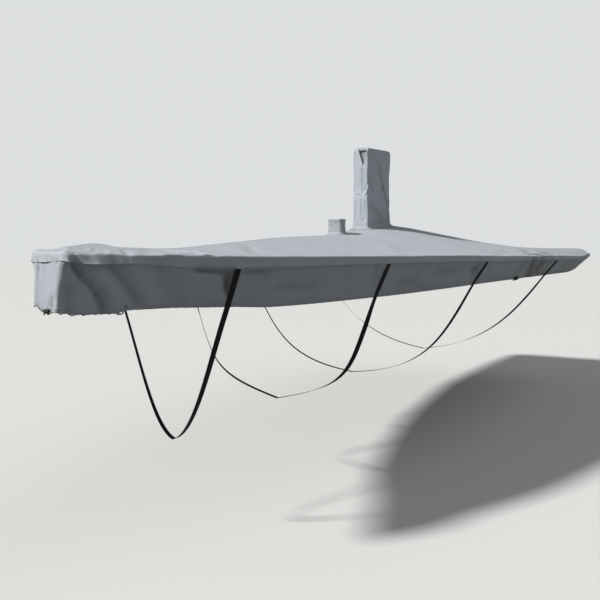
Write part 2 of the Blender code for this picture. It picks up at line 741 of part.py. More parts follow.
def hem_loop(name, side, row):
    """A loop of cord whose two ends lie on the skirt, just above the hem."""
    middle = reach_at(row["station"])
    hem = hem_depth(side, middle)
    lift = LOOP_CORD_RADIUS + LOOP_LIFT
    half = row["width"] / 2
    path = [(-half, hem - LOOP_SEAT), (-half, hem - LOOP_SEAT / 2)]
    for i in range(LOOP_POINTS):
        turn = math.pi * i / (LOOP_POINTS - 1)
        path.append((-half * math.cos(turn), hem + row["hang"] * math.sin(turn)))
    path += [(half, hem - LOOP_SEAT / 2), (half, hem - LOOP_SEAT)]
    points = [side_point(side, middle + offset, depth, lift) for offset, depth in path]
    cord_along(name, points, LOOP_CORD_RADIUS)


def bow_cord():
    """The drawcord along the hem's lower edge, from side to side round the bow."""
    end = reach_at(BOW_CORD_END)
    reaches = bow_columns() + [r for r in side_columns() if BOW_SEAM < r < end - 0.004] + [end]
    lines = {
        side: [
            side_point(side, reach, hem_depth(side, reach) + BOW_CORD_GAP + BOW_CORD_RADIUS, -CLOTH / 2)
            for reach in reaches
        ]
        for side in SIDES
    }
    cord_along("bow_cord", lines["starboard"][:0:-1] + lines["port"], BOW_CORD_RADIUS)


def build():
    for thing in list(bpy.data.objects):
        bpy.data.objects.remove(thing, do_unlink=True)
    cutters = [sleeve_cutter("collar_cutter", COLLAR), sleeve_cutter("sock_cutter", SOCK)]
    for side in SIDES:
        top_half(side, cutters)
        skirt(side)
    end_panel("bow_panel", with_seams(bow_columns(), False, True), True)
    end_panel("stern_panel", with_seams(stern_columns(), True, False), False)
    sleeve("collar", COLLAR, COLLAR_RINGS, False)
    sleeve("sock", SOCK, SOCK_RINGS, True)
    for number, row in enumerate(as_rows(STRAP_COLUMNS, STRAPS), start=1):
        belly_strap(number, row)
    bow_cord()
    for side in SIDES:
        for number, row in enumerate(as_rows(LOOP_COLUMNS, LOOPS), start=1):
            hem_loop(f"hem_loop_{side}_{number}", side, row)


build()
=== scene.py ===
import math

import bmesh
import bpy
import numpy as np
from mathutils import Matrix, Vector


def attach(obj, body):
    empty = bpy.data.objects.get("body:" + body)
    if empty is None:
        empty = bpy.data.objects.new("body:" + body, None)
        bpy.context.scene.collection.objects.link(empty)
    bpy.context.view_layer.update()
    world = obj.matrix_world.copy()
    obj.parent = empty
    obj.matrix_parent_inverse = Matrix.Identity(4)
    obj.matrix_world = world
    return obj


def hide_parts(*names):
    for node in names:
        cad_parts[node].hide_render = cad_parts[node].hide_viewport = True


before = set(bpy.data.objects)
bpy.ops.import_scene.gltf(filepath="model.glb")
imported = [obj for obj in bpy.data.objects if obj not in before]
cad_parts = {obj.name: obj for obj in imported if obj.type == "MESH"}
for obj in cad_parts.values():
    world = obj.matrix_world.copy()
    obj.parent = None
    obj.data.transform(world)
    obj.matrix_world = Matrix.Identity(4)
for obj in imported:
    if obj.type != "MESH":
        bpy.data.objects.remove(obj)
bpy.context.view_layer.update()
originStation = 3.65            # station of the frame's origin
sideSigns = {"port": -1.0, "starboard": 1.0}


def asRows(table):
    rows = table["rows"] if isinstance(table["rows"], dict) else {"all": table["rows"]}
    per = table.get("per", 1)
    return [{"group": group, **{name: value / per for name, value in zip(table["columns"], row)}}
            for group, entries in rows.items() for row in entries]


def smoothStep(value, low, high):
    t = np.clip((value - low) / (high - low), 0.0, 1.0)
    return t * t * (3.0 - 2.0 * t)


def smoothCurve(places, values):
    places, values = np.array(places, float), np.array(values, float)
    steps = np.diff(places)
    slopes = np.diff(values) / steps
    product = slopes[:-1] * slopes[1:]
    total = np.where(product > 0, slopes[:-1] + slopes[1:], 1.0)
    middle = np.where(product > 0, 2 * product / total, 0.0)
    tangents = np.concatenate([slopes[:1], middle, slopes[-1:]])

    def valueAt(place):
        place = np.clip(place, places[0], places[-1])
        i = np.minimum(np.searchsorted(places, place, side="right") - 1, len(steps) - 1)
        t = (place - places[i]) / steps[i]
        rise = values[i + 1] - values[i]
        start, end = tangents[i] * steps[i], tangents[i + 1] * steps[i]
        return (values[i] + t * start + t * t * (3 * rise - 2 * start - end)
                + t ** 3 * (start + end - 2 * rise))

    return valueAt


# the cover's form, as its solids have it

coverForm = {
    "columns": ("station", "half", "sheer", "shoulder", "roll", "eave", "tuck", "drop", "lean",
                "peak", "square"),
    "rows": (
        (-0.06, 0.108, 0.018, 0.000, 0.036, 0.043, 0.022, 0.262, 0.041, 1.25, 8),
        (0.05, 0.136, 0.012, 0.004, 0.036, 0.048, 0.012, 0.271, 0.17, 1.25, 8),
        (0.20, 0.196, 0.006, 0.008, 0.032, 0.041, 0.007, 0.268, 0.26, 1.25, 8),
        (0.50, 0.334, 0.002, 0.004, 0.024, 0.060, 0.006, 0.259, 0.40, 1.25, 8),
        (0.75, 0.457, -0.002, 0.000, 0.020, 0.062, 0.006, 0.261, 0.48, 1.25, 8),
        (1.00, 0.562, -0.004, 0.000, 0.020, 0.056, 0.005, 0.271, 0.46, 1.25, 8),
        (1.80, 0.798, -0.003, 0.000, 0.020, 0.046, 0.004, 0.255, 0.45, 1.25, 8),
        (2.60, 1.010, 0.001, 0.000, 0.020, 0.044, 0.004, 0.232, 0.585, 1.25, 8),
        (3.30, 1.138, -0.003, 0.010, 0.020, 0.042, 0.004, 0.205, 0.68, 1.25, 8),
        (4.60, 1.276, -0.001, 0.053, 0.022, 0.040, 0.004, 0.186, 0.84, 1.65, 8),
        (6.00, 1.258, -0.006, 0.062, 0.024, 0.040, 0.004, 0.184, 0.94, 2.30, 10),
        (7.32, 1.192, 0.030, 0.058, 0.026, 0.042, 0.004, 0.200, 1.04, 4.50, 24),
    ),
    "bowStation": -0.060, "sternStation": 7.320,
    "bowCorner": 0.040, "sternCorner": 0.070, "cornerSteps": 20,
    "firstSide": 0.05, "lastSide": 0.12, "sideSteps": 150,
    "bowRake": -0.10, "sternRake": 0.16, "endSpan": 0.30, "tuckDepth": 0.025,
    "ridgeStart": 0.04, "ridgeEnd": 7.24, "straightFrom": 0.30, "straightTo": 7.00,
    "ridgeSoftness": 0.06, "ridgeFlat": 0.028, "steepest": 19.0, "leastSquare": 2.0,
}
ridgeForm = {
    "station": (0.04, 0.21, 0.36, 0.65, 1.20, 1.80, 2.60, 3.10, 3.55, 4.10, 4.80, 5.80, 7.32),
    "height": (0.036, 0.052, 0.036, 0.032, 0.066, 0.112, 0.152, 0.215, 0.258, 0.247, 0.216,
               0.174, 0.137),
}
hemGathering = {                # the drawcord gathers the hem up at one corner of the bow
    "side": "starboard", "rise": 0.028, "reach": (-0.005, 0.085), "end": (0.03, 0.20),
}
mainFolds = {                   # troughs and ridges, as on the solids but for a curve at the bow
    "columns": ("stationA", "depthA", "stationB", "depthB", "width", "rise"), "per": 1000,
    "rows": {
        "port": (
            (-22, 190, -22, 280, 45, -14), (-30, 50, 78, 150, 20, -17),
            (104, 178, 148, 262, 24, -15), (70, 60, 180, 210, 30, 8),
            (143, 50, 290, 215, 28, -13), (240, 70, 360, 240, 36, 6), (335, 55, 475, 225, 45, -8),
            (217, -20, 250, -85, 20, -9), (299, -30, 475, -235, 30, -5),
            (610, -28, 543, -300, 30, -6), (525, 70, 645, 80, 18, -10),
            (672, 85, 712, 160, 30, -13), (800, 95, 886, 100, 22, -6),
            (1007, 160, 1230, 170, 45, -7), (951, -120, 1236, -480, 35, -6),
            (1700, 75, 1740, 160, 35, -9), (2015, 185, 2140, 140, 50, -7),
            (2006, -111, 2480, -500, 45, 6), (2334, 110, 2540, 100, 45, -6),
            (2800, 80, 2890, 150, 45, -11), (3840, 40, 4050, 185, 45, -14),
            (4020, 15, 4150, 110, 40, -12), (3968, -45, 4316, -200, 45, -9),
            (4466, -84, 4620, -40, 40, -8), (5300, 80, 5700, 100, 70, -6),
        ),
        "starboard": (
            (-22, 20, -22, 200, 75, 13), (40, 45, 170, 250, 24, -13), (220, 60, 330, 230, 36, -9),
            (640, 80, 700, 160, 30, -9), (1250, 110, 1500, 150, 50, -6),
            (1860, 75, 1900, 160, 35, -9), (2300, -70, 2180, -320, 35, 6),
            (3050, 70, 3100, 140, 40, -10), (3950, 20, 4080, 170, 50, -12),
            (4480, 30, 4440, 140, 45, -9), (5900, 60, 6150, 120, 70, -6),
        ),
    },
}
fineCreases = {                 # small creases that the solids leave out
    "columns": mainFolds["columns"], "per": 1000,
    "rows": {
        "port": (
            (-30, 50, 22, 102, 10, -4), (22, 102, 106, 182, 12, -4), (106, 182, 148, 262, 13, -4),
            (207, 130, 296, 225, 16, -3), (-5, 120, 20, 230, 16, 3), (-26, 48, -12, 75, 8, -4),
            (-22, -8, -10, 34, 8, -4), (385, -14, 440, -14, 22, 4), (562, -14, 592, -14, 14, 6),
            (462, -38, 585, -62, 16, 6), (540, -300, 650, -160, 14, 9),
            (650, -160, 625, -40, 12, 8), (520, -220, 570, -60, 20, -8),
            (3250, -60, 3800, -190, 40, -7), (4460, -250, 3900, -40, 32, -12),
            (4440, -130, 4600, -40, 30, -14), (4560, -190, 4760, -100, 34, 6),
            (1236, -480, 990, -230, 22, -5), (30, 50, 50, 110, 12, 3),
            (150, 60, 200, 115, 11, -4), (260, 240, 276, 180, 10, -3), (420, 70, 520, 100, 20, 3),
            (500, 72, 670, 84, 12, -6), (672, 80, 716, 150, 18, -9), (700, 78, 724, 180, 15, -9),
            (775, 78, 900, 80, 12, -6), (930, 70, 1060, 100, 22, -3),
            (1080, 190, 1200, 215, 18, 3), (1420, 60, 1500, 150, 22, -3),
            (1745, 70, 1772, 100, 14, -5), (1840, 62, 1930, 110, 18, -4),
            (2150, 60, 2300, 85, 20, -3), (2620, 55, 2700, 140, 20, -3),
            (2980, 58, 3080, 120, 20, -4), (3300, 50, 3420, 110, 22, -3),
            (3760, 45, 3930, 170, 18, -5), (3880, 50, 4090, 180, 16, -5),
            (4100, 48, 4230, 150, 20, 4), (4240, 20, 4420, 60, 20, -4),
            (4660, 50, 4800, 110, 24, -4), (5050, 50, 5300, 120, 30, -4),
            (6100, 50, 6400, 110, 35, -4), (70, -30, 110, -100, 12, -3),
            (140, -20, 165, -75, 12, 3), (230, -18, 330, -30, 12, -4),
            (360, -30, 520, -22, 10, -3), (960, -30, 1010, -120, 16, -3),
            (1900, -30, 2010, -110, 16, 3), (2930, -28, 2960, -140, 18, -3),
            (3820, -30, 4020, -110, 20, -5), (4120, -60, 4380, -240, 22, -5),
            (4580, -28, 4660, -160, 22, -4), (5200, -50, 5700, -400, 50, -5),
        ),
        "starboard": (
            (50, 60, 140, 180, 12, -4), (230, 60, 280, 150, 13, -4), (700, 82, 728, 110, 13, -6),
            (790, 76, 880, 85, 13, -4), (1060, 110, 1180, 190, 22, -3),
            (1745, 66, 1770, 110, 15, -5), (2400, 60, 2520, 150, 24, -3),
            (2880, 60, 2910, 120, 18, -5), (3350, 60, 3520, 120, 26, -3),
            (4020, 45, 4180, 160, 20, -5), (4540, 50, 4575, 100, 18, -5),
            (5300, 50, 5520, 130, 35, -4), (6700, 50, 6900, 130, 35, -4),
            (900, -40, 1150, -380, 30, -4), (3980, -40, 4260, -220, 30, -6),
            (5500, -50, 5900, -420, 50, -5),
        ),
    },
}
bowCreases = {                  # on the bow's face and corners, where places go by reach
    "columns": ("reachA", "depthA", "reachB", "depthB", "width", "rise"), "per": 1000,
    "rows": {
        "starboard": (
            (56, 46, 60, 85, 6, -4), (60, 85, 63, 120, 10, -2), (94, 45, 98, 110, 7, -8),
            (80, 60, 82, 240, 12, 2.5),
        ),
        "port": (
            (60, 48, 62, 56, 5, -3), (118, 80, 122, 210, 26, -5), (120, -12, 210, -12, 16, -6),
            (36, 255, 52, 215, 22, -7), (58, 275, 60, 240, 12, -4),
        ),
    },
}
# Rows at stations 625 to 680 with depth under zero paint the shaded flank of a fold on the top;
# rows from 4050 to 4540 paint shade, with dirt, into the folds near the stern; the wide aft rows
# with depth under zero darken the top's aft part.
marksAndPaintedShade = {                     # dirt and damp marks, and painted shade, by place
    "columns": ("station", "depth", "long", "deep", "shade"), "per": 1000,
    "rows": {
        "port": (
            (244, 241, 6, 6, 1600), (677, 247, 6, 6, 1600), (704, 115, 26, 50, 600),
            (600, 78, 85, 10, 600), (840, 80, 80, 12, 500), (1100, 165, 140, 20, 250),
            (2070, 165, 110, 22, 300), (2450, 110, 120, 22, 350), (2300, 205, 200, 20, 300),
            (2850, 95, 60, 34, 750), (3350, 180, 300, 22, 250), (3700, 90, 70, 60, 600),
            (3900, 50, 50, 50, 1000), (4120, 110, 140, 60, 2100), (4400, 80, 50, 60, 900),
            (4500, 165, 300, 24, 1200), (5900, 110, 900, 70, 450), (4160, -100, 50, 90, 1700),
            (4540, -70, 70, 60, 1500), (4050, -30, 120, 25, 1000), (680, -270, 20, 50, 350),
            (668, -190, 18, 50, 400), (648, -110, 16, 40, 400), (625, -50, 14, 30, 350),
            (5300, 170, 500, 20, 500), (6500, 175, 500, 20, 350), (20, 100, 30, 60, 250),
            (130, 190, 50, 60, 200), (6300, -450, 1500, 700, 360), (4640, -150, 500, 300, 200),
        ),
        "starboard": (
            (700, 115, 30, 40, 450), (1900, 170, 160, 24, 300), (2870, 95, 50, 30, 400),
            (4100, 130, 110, 45, 450), (5200, 170, 500, 20, 400), (6000, -500, 1500, 700, 300),
        ),
    },
    "troughShade": 0.42, "troughDepth": 0.022,
}


def roundedCorner(before, corner, after, radius):
    start = corner + (before - corner) / np.linalg.norm(before - corner) * radius
    end = corner + (after - corner) / np.linalg.norm(after - corner) * radius
    steps = coverForm["cornerSteps"]
    return [(1 - t) ** 2 * start + 2 * t * (1 - t) * corner + t * t * end
            for t in (i / steps for i in range(steps + 1))]


formRows = asRows(coverForm)
formCurves = {
    name: smoothCurve([row["station"] for row in formRows], [row[name] for row in formRows])
    for name in coverForm["columns"]
}
ridgeHeight = smoothCurve(ridgeForm["station"], ridgeForm["height"])


def traceEdge():
    form = coverForm
    bow, stern = form["bowStation"], form["sternStation"]

    def onEdge(station):
        return np.array([station, float(formCurves["half"](station))])

    stations = np.linspace(form["firstSide"], stern - form["lastSide"], form["sideSteps"])
    side = [onEdge(station) for station in stations]
    bowCentre, sternCentre = np.array([bow, 0.0]), np.array([stern, 0.0])
    points = np.array([
        bowCentre, *roundedCorner(bowCentre, onEdge(bow), side[0], form["bowCorner"]), *side,
        *roundedCorner(side[-1], onEdge(stern), sternCentre, form["sternCorner"]), sternCentre])
    lengths = np.linalg.norm(np.diff(points, axis=0), axis=1)
    return points, np.concatenate([[0.0], np.cumsum(lengths)])


outline, outlineReach = traceEdge()
edgeMarks = {
    "end": outlineReach[-1],
    "bowFlat": outlineReach[1],
    "sternFlat": outlineReach[-2],
    "bowSeam": outlineReach[1 + coverForm["cornerSteps"]],
    "sternSeam": outlineReach[-2 - coverForm["cornerSteps"]],
}


def edgeAt(reach):
    return [np.interp(reach, outlineReach, outline[:, axis]) for axis in (0, 1)]


def reachAt(station):
    corner = coverForm["cornerSteps"]
    side = slice(1 + corner, len(outline) - 1 - corner)
    return np.interp(station, outline[side, 0], outlineReach[side])


def spineAt(reach, station):
    form = coverForm
    first, last = reachAt(form["straightFrom"]), reachAt(form["straightTo"])
    fore = np.interp(reach, (edgeMarks["bowFlat"], first),
                     (form["ridgeStart"], form["straightFrom"]))
    aft = np.interp(reach, (last, edgeMarks["sternFlat"]),
                    (form["straightTo"], form["ridgeEnd"]))
    return np.where(reach < first, fore, np.where(reach > last, aft, station))


def columnsFor(side, reach, step=0.006):
    reach = np.asarray(reach, float)
    station, half = edgeAt(reach)
    ahead = edgeAt(np.minimum(reach + step, edgeMarks["end"]))
    behind = edgeAt(np.maximum(reach - step, 0.0))
    alongX, alongH = ahead[0] - behind[0], ahead[1] - behind[1]
    length = np.hypot(alongX, alongH)
    atBow, atStern = reach < step, reach > edgeMarks["end"] - step
    normalX = np.where(atBow, -1.0, np.where(atStern, 1.0, -alongH / length))
    normalH = np.where(atBow | atStern, 0.0, alongX / length)
    column = {name: curve(station)[:, None] for name, curve in formCurves.items()}
    for name, values in (("reach", reach), ("station", station), ("edgeHalf", half),
                         ("normalX", normalX), ("normalH", normalH),
                         ("spine", spineAt(reach, station))):
        column[name] = values[:, None]
    column["side"] = side
    if side == hemGathering["side"]:
        gathered = smoothStep(reach, *hemGathering["reach"])
        gathered = gathered * (1.0 - smoothStep(station, *hemGathering["end"]))
        column["drop"] = column["drop"] - hemGathering["rise"] * gathered[:, None]
    return column


def oneColumn(side, reach):
    return columnsFor(side, np.array([reach]))


def creasesOn(side):
    found = []
    for table in (mainFolds, fineCreases, bowCreases):
        for row in table["rows"][side]:
            placeA, depthA, placeB, depthB, width, rise = (value / table["per"] for value in row)
            if table is not bowCreases:
                placeA, placeB = float(reachAt(placeA)), float(reachAt(placeB))
            found.append((placeA, depthA, placeB, depthB, width, rise))
    return found


creases = {side: creasesOn(side) for side in sideSigns}


def creaseRise(across, down, crease):
    acrossA, downA, acrossB, downB, width, rise = crease
    runA, runD = acrossB - acrossA, downB - downA
    share = np.clip(((across - acrossA) * runA + (down - downA) * runD)
                    / (runA * runA + runD * runD), 0.0, 1.0)
    distance = (across - acrossA - share * runA) ** 2 + (down - downA - share * runD) ** 2
    return rise * np.exp(-distance / width ** 2)


def foldRise(side, reach, depth):
    return sum(creaseRise(reach, depth, crease) for crease in creases[side])


def dirtAndCreaseShade(side, reach, depth):
    shade = 0.0
    for mark in asRows(marksAndPaintedShade):
        if mark["group"] == side:
            along = (reach - float(reachAt(mark["station"]))) / mark["long"]
            down = (depth - mark["depth"]) / mark["deep"]
            shade = shade + mark["shade"] * np.exp(-along ** 2 - down ** 2)
    # painted shade: the cloth is darkened in the troughs of its folds
    trough = np.clip(-foldRise(side, reach, depth) / marksAndPaintedShade["troughDepth"], 0.0, 1.0)
    return shade + marksAndPaintedShade["troughShade"] * trough


# unevenness of the cloth: soft ripples of several lengths, the same at every run
ripple = {"seed": 7, "waves": 9, "shortest": 0.075, "longest": 0.42, "height": 0.0011,
          "leanSpread": 1.6, "sideShift": 0.37, "leastWeight": 0.4}
rippleDraws = np.random.default_rng(ripple["seed"]).uniform(0.0, 1.0, (ripple["waves"], 4))
puckerForm = {"length": 0.034, "sway": 2.1, "swayRate": 9.7, "height": 0.0006, "fade": 0.022}


def unevenness(side, reach, depth):
    total = 0.0
    for lengthDraw, leanDraw, shiftDraw, weight in rippleDraws:
        length = ripple["shortest"] * (ripple["longest"] / ripple["shortest"]) ** lengthDraw
        lean = ripple["leanSpread"] * (leanDraw - 0.5)
        shift = shiftDraw + ripple["sideShift"] * sideSigns[side]
        strength = (ripple["leastWeight"] + weight) * (length / ripple["longest"]) ** 0.5
        turn = 2 * math.pi * ((reach + lean * depth) / length + shift)
        total = total + strength * np.sin(turn)
    return ripple["height"] * total / math.sqrt(ripple["waves"])


def pucker(side, reach, away):
    form = puckerForm
    turn = 2 * math.pi * reach / form["length"] + form["sway"] * np.sin(reach * form["swayRate"])
    return form["height"] * np.sin(turn + sideSigns[side]) * np.exp(-np.abs(away) / form["fade"])


def tentHeight(share, ridge, here):
    softness, flat = coverForm["ridgeSoftness"], coverForm["ridgeFlat"]
    past = np.maximum(share - flat, 0.0) / (1.0 - flat)
    soft = (np.hypot(past, softness) - softness) / (math.hypot(1.0, softness) - softness)
    crown = here["shoulder"] * (1.0 - share ** here["square"])
    peak = ridge - here["sheer"] - here["shoulder"]
    return here["sheer"] + crown + peak * np.maximum(1.0 - soft, 0.0) ** here["peak"]


def topHeight(station, half):
    here = {name: curve(station) for name, curve in formCurves.items()}
    return tentHeight(np.abs(half) / (here["half"] - here["roll"]), ridgeHeight(station), here)


def toWorld(side, station, half, height):
    station, half, height = np.broadcast_arrays(station, half, height)
    return np.stack([station - originStation, sideSigns[side] * half, height], axis=-1)


centreSeam = {"width": 0.010, "rise": 0.0012, "edge": 0.003, "stillWithin": 0.05}


def rollInner(column):
    return (column["station"] - column["normalX"] * column["roll"],
            column["edgeHalf"] - column["normalH"] * column["roll"])


def topPoints(column, share):
    side, reach, seam = column["side"], column["reach"], centreSeam
    outerX, outerH = rollInner(column)
    placeX = column["spine"] + (outerX - column["spine"]) * share
    placeH = outerH * share
    inward = np.hypot(column["station"] - placeX, column["edgeHalf"] - placeH)
    run = np.hypot(outerX - column["spine"], outerH)
    limit = np.maximum(coverForm["steepest"] * run, coverForm["leastSquare"])
    here = {**column, "square": np.minimum(column["square"], limit)}
    still = smoothStep(placeH, 0.0, seam["stillWithin"])
    height = tentHeight(share, ridgeHeight(placeX), here) + foldRise(side, reach, -inward)
    height = height + unevenness(side, reach, -inward) * still
    height = height + pucker(side, reach, placeH - seam["width"]) * still
    beside = smoothStep(placeH, seam["width"] - seam["edge"], seam["width"])
    return toWorld(side, placeX, placeH, height + seam["rise"] * (1.0 - beside))


crispness = {                   # 1 is a round edge, 0.5 a sharply folded one
    "station": (-0.06, 0.02, 0.22, 0.60, 1.20, 3.60, 7.32),
    "power": (0.66, 0.46, 0.44, 0.50, 0.56, 0.66, 0.72),
}
foldPower = smoothCurve(crispness["station"], crispness["power"])


def rollPoints(column, turn):
    side, roll = column["side"], column["roll"]
    depth = roll * (turn * 4 / math.pi - 1.0)
    rise = foldRise(side, column["reach"], depth) + unevenness(side, column["reach"], depth)
    power = foldPower(column["station"])
    out = (roll + rise) * np.sin(turn) ** power - roll
    height = column["sheer"] - roll + (roll + rise) * np.clip(np.cos(turn), 0.0, 1.0) ** power
    out = out + facingLift(column, column["sheer"] - height)
    half = column["edgeHalf"] + column["normalH"] * out
    return toWorld(side, column["station"] + column["normalX"] * out, np.maximum(half, 0.0), height)


def sidePoints(column, depth, lift=0.0):
    form, side, reach = coverForm, column["side"], column["reach"]
    below = np.maximum(depth - column["eave"], 0.0)
    nearBow = 1.0 - (column["station"] - form["bowStation"]) / form["endSpan"]
    nearStern = 1.0 - (form["sternStation"] - column["station"]) / form["endSpan"]
    rake = (form["bowRake"] * np.maximum(0.0, nearBow)
            - form["sternRake"] * np.maximum(0.0, nearStern))
    drawnIn = column["lean"] * below + column["tuck"] * (1.0 - np.exp(-below / form["tuckDepth"]))
    out = (foldRise(side, reach, depth) + unevenness(side, reach, depth)
           + pucker(side, reach, depth - column["eave"]) + lift)
    half = column["edgeHalf"] * (1.0 - drawnIn / column["half"]) + column["normalH"] * out
    station = column["station"] + below * rake + column["normalX"] * out
    return toWorld(side, station, np.maximum(half, 0.0), column["sheer"] - depth)


def onSide(side, reach, depth, lift):
    return sidePoints(oneColumn(side, reach), np.array([[depth]]), lift)[0, 0]


# materials


def fillSocket(tree, socket, value):
    if isinstance(value, bpy.types.NodeSocket):
        tree.links.new(value, socket)
    elif value is not None:
        socket.default_value = value


def addNode(tree, kind, inputs, **settings):
    node = tree.nodes.new(kind)
    for name, value in settings.items():
        setattr(node, name, value)
    for name, value in inputs.items():
        fillSocket(tree, node.inputs[name], value)
    return node


def newGroup(name, kind, inputs, outputs):
    group = bpy.data.node_groups.new(name, kind)
    for way, sockets in (("INPUT", inputs), ("OUTPUT", outputs)):
        for label, socketKind in sockets.items():
            group.interface.new_socket(label, in_out=way, socket_type="NodeSocket" + socketKind)
    given, result = group.nodes.new("NodeGroupInput"), group.nodes.new("NodeGroupOutput")
    return group, given.outputs, result.inputs


def maths(tree, operation, *values, clamp=False):
    return addNode(tree, "ShaderNodeMath", dict(enumerate(values)), operation=operation,
                   use_clamp=clamp).outputs[0]


def noise(tree, vector, scale, detail, roughness=0.5):
    return addNode(tree, "ShaderNodeTexNoise", {
        "Vector": vector, "Scale": scale, "Detail": detail, "Roughness": roughness}).outputs["Fac"]


weaveForm = {"slubScale": 160.0, "slubDetail": 2.0}
weatherForm = {                 # each noise: times the material's scale, detail and roughness
    "broad": (1.0, 4.0, 0.55), "fine": (9.0, 3.0, 0.6), "grain": (60.0, 2.0, 0.5),
    "broadShare": 0.7, "leastDirtShade": 0.35,
}


def buildWeave():
    group, given, result = newGroup(
        "plainWeave", "ShaderNodeTree", {"Vector": "Vector", "Pitch": "Float", "Slub": "Float"},
        {"Height": "Float", "Gaps": "Float"})
    split = addNode(group, "ShaderNodeSeparateXYZ", {0: given["Vector"]})
    threads = maths(group, "DIVIDE", math.pi, given["Pitch"])
    warpWave, weftWave = (
        maths(group, "SINE", maths(group, "MULTIPLY", split.outputs[axis], threads))
        for axis in ("X", "Y"))
    share = maths(group, "MULTIPLY_ADD", maths(group, "MULTIPLY", warpWave, weftWave), 0.5, 0.5)
    warp = maths(group, "MULTIPLY", maths(group, "ABSOLUTE", warpWave), share)
    weft = maths(group, "MULTIPLY", maths(group, "ABSOLUTE", weftWave),
                 maths(group, "SUBTRACT", 1.0, share))
    slub = noise(group, given["Vector"], weaveForm["slubScale"], weaveForm["slubDetail"])
    slub = maths(group, "MULTIPLY", slub, given["Slub"])
    height = maths(group, "ADD", maths(group, "ADD", warp, weft), slub)
    group.links.new(height, result["Height"])
    group.links.new(maths(group, "SUBTRACT", 1.0, height, clamp=True), result["Gaps"])
    return group


# The per-vertex darkening, made patchy here, is real dirt and painted shade in creases, troughs and
# under the facing.
def buildWeather():
    group, given, result = newGroup(
        "weathering", "ShaderNodeTree", {"Vector": "Vector", "Scale": "Float", "DirtShade": "Float"},
        {"Fade": "Float", "DirtShadeMix": "Float", "Grain": "Float"})
    broad, fine, grain = (
        noise(group, given["Vector"], maths(group, "MULTIPLY", given["Scale"], times), *look)
        for times, *look in (weatherForm[name] for name in ("broad", "fine", "grain")))
    share = weatherForm["broadShare"]
    fade = maths(group, "MULTIPLY_ADD", broad, share, maths(group, "MULTIPLY", fine, 1.0 - share))
    patchy = maths(group, "ADD", fine, weatherForm["leastDirtShade"])
    group.links.new(fade, result["Fade"])
    group.links.new(maths(group, "MULTIPLY", given["DirtShade"], patchy, clamp=True), result["DirtShadeMix"])
    group.links.new(grain, result["Grain"])
    return group


weaveGroup = buildWeave()
weatherGroup = buildWeather()


def weatherOn(tree, look, dirtAndShade=None):
    places = addNode(tree, "ShaderNodeTexCoord", {})
    return addNode(tree, "ShaderNodeGroup", {
        "Vector": places.outputs["Object"], "Scale": look["scale"], "DirtShade": dirtAndShade},
        node_tree=weatherGroup).outputs


def mixColours(tree, factor, first, second, blend="MIX"):
    first, second = ((*colour, 1.0) if isinstance(colour, tuple) else colour
                     for colour in (first, second))
    return addNode(tree, "ShaderNodeMix", {"Factor": factor, "A": first, "B": second},
                   data_type="RGBA", blend_type=blend).outputs["Result"]


def bumped(tree, height, distance, strength=0.5, normal=None):
    return addNode(tree, "ShaderNodeBump", {
        "Distance": distance, "Strength": strength, "Height": height,
        "Normal": normal}).outputs["Normal"]


def newMaterial(name, fill):
    made = bpy.data.materials.new(name)
    made.use_nodes = True
    shader = made.node_tree.nodes["Principled BSDF"]
    for label, value in fill(made.node_tree).items():
        fillSocket(made.node_tree, shader.inputs[label], value)
    return made


def clothFinish(name, look):
    def fill(tree):
        uvMap = addNode(tree, "ShaderNodeUVMap", {}, uv_map="UVMap")
        weave = addNode(tree, "ShaderNodeGroup", {
            "Vector": uvMap.outputs["UV"], "Pitch": look["pitch"], "Slub": look["slub"]},
            node_tree=weaveGroup).outputs
        dirtAndShade = addNode(tree, "ShaderNodeAttribute", {}, attribute_name="dirtAndShade")
        weather = weatherOn(tree, look, dirtAndShade.outputs["Fac"])
        colour = mixColours(tree, weather["Fade"], look["dark"], look["light"])
        colour = mixColours(tree, weave["Gaps"], colour, look["gap"], "MULTIPLY")
        rough = addNode(tree, "ShaderNodeMapRange", {
            "Value": weather["Fade"], "To Min": look["smooth"], "To Max": look["rough"]})
        woven = bumped(tree, weave["Height"], look["bump"], look["bumpStrength"])
        return {
            # the dark colour laid on by the per-vertex darkening paints both dirt and the shade in
            # creases, troughs and under the facing
            "Base Color": mixColours(tree, weather["DirtShadeMix"], colour, look["dirtShadeColour"]),
            "Roughness": rough.outputs["Result"],
            "Normal": bumped(tree, weather["Grain"], look["slack"], normal=woven),
            "Specular IOR Level": look["specular"], "Sheen Weight": look["sheen"],
            "Sheen Roughness": 0.5,
        }
    return newMaterial(name, fill)


def plainFinish(name, look):
    def fill(tree):
        grain = weatherOn(tree, look)["Grain"]
        return {"Base Color": mixColours(tree, grain, look["dark"], look["light"]),
                "Roughness": look["roughness"], "Normal": bumped(tree, grain, look["bump"])}
    return newMaterial(name, fill)


# its darkest colour stands for dirt and also paints the shade in creases, troughs and under the
# facing
canvas = clothFinish("canvas", {
    "light": (0.472, 0.515, 0.562), "dark": (0.398, 0.436, 0.478), "gap": (0.82, 0.83, 0.84),
    "dirtShadeColour": (0.165, 0.172, 0.172), "pitch": 0.0012, "slub": 0.25, "scale": 2.6,
    "smooth": 0.72, "rough": 0.90, "bump": 0.0003, "bumpStrength": 0.35, "slack": 0.0011,
    "sheen": 0.10, "specular": 0.5})
webbing = clothFinish("webbing", {
    "light": (0.015, 0.015, 0.016), "dark": (0.007, 0.007, 0.008), "gap": (0.45, 0.45, 0.45),
    "dirtShadeColour": (0.026, 0.025, 0.024), "pitch": 0.0024, "slub": 0.15, "scale": 6.0,
    "smooth": 0.60, "rough": 0.80, "bump": 0.0006, "bumpStrength": 0.7, "slack": 0.0004,
    "sheen": 0.0, "specular": 0.12})
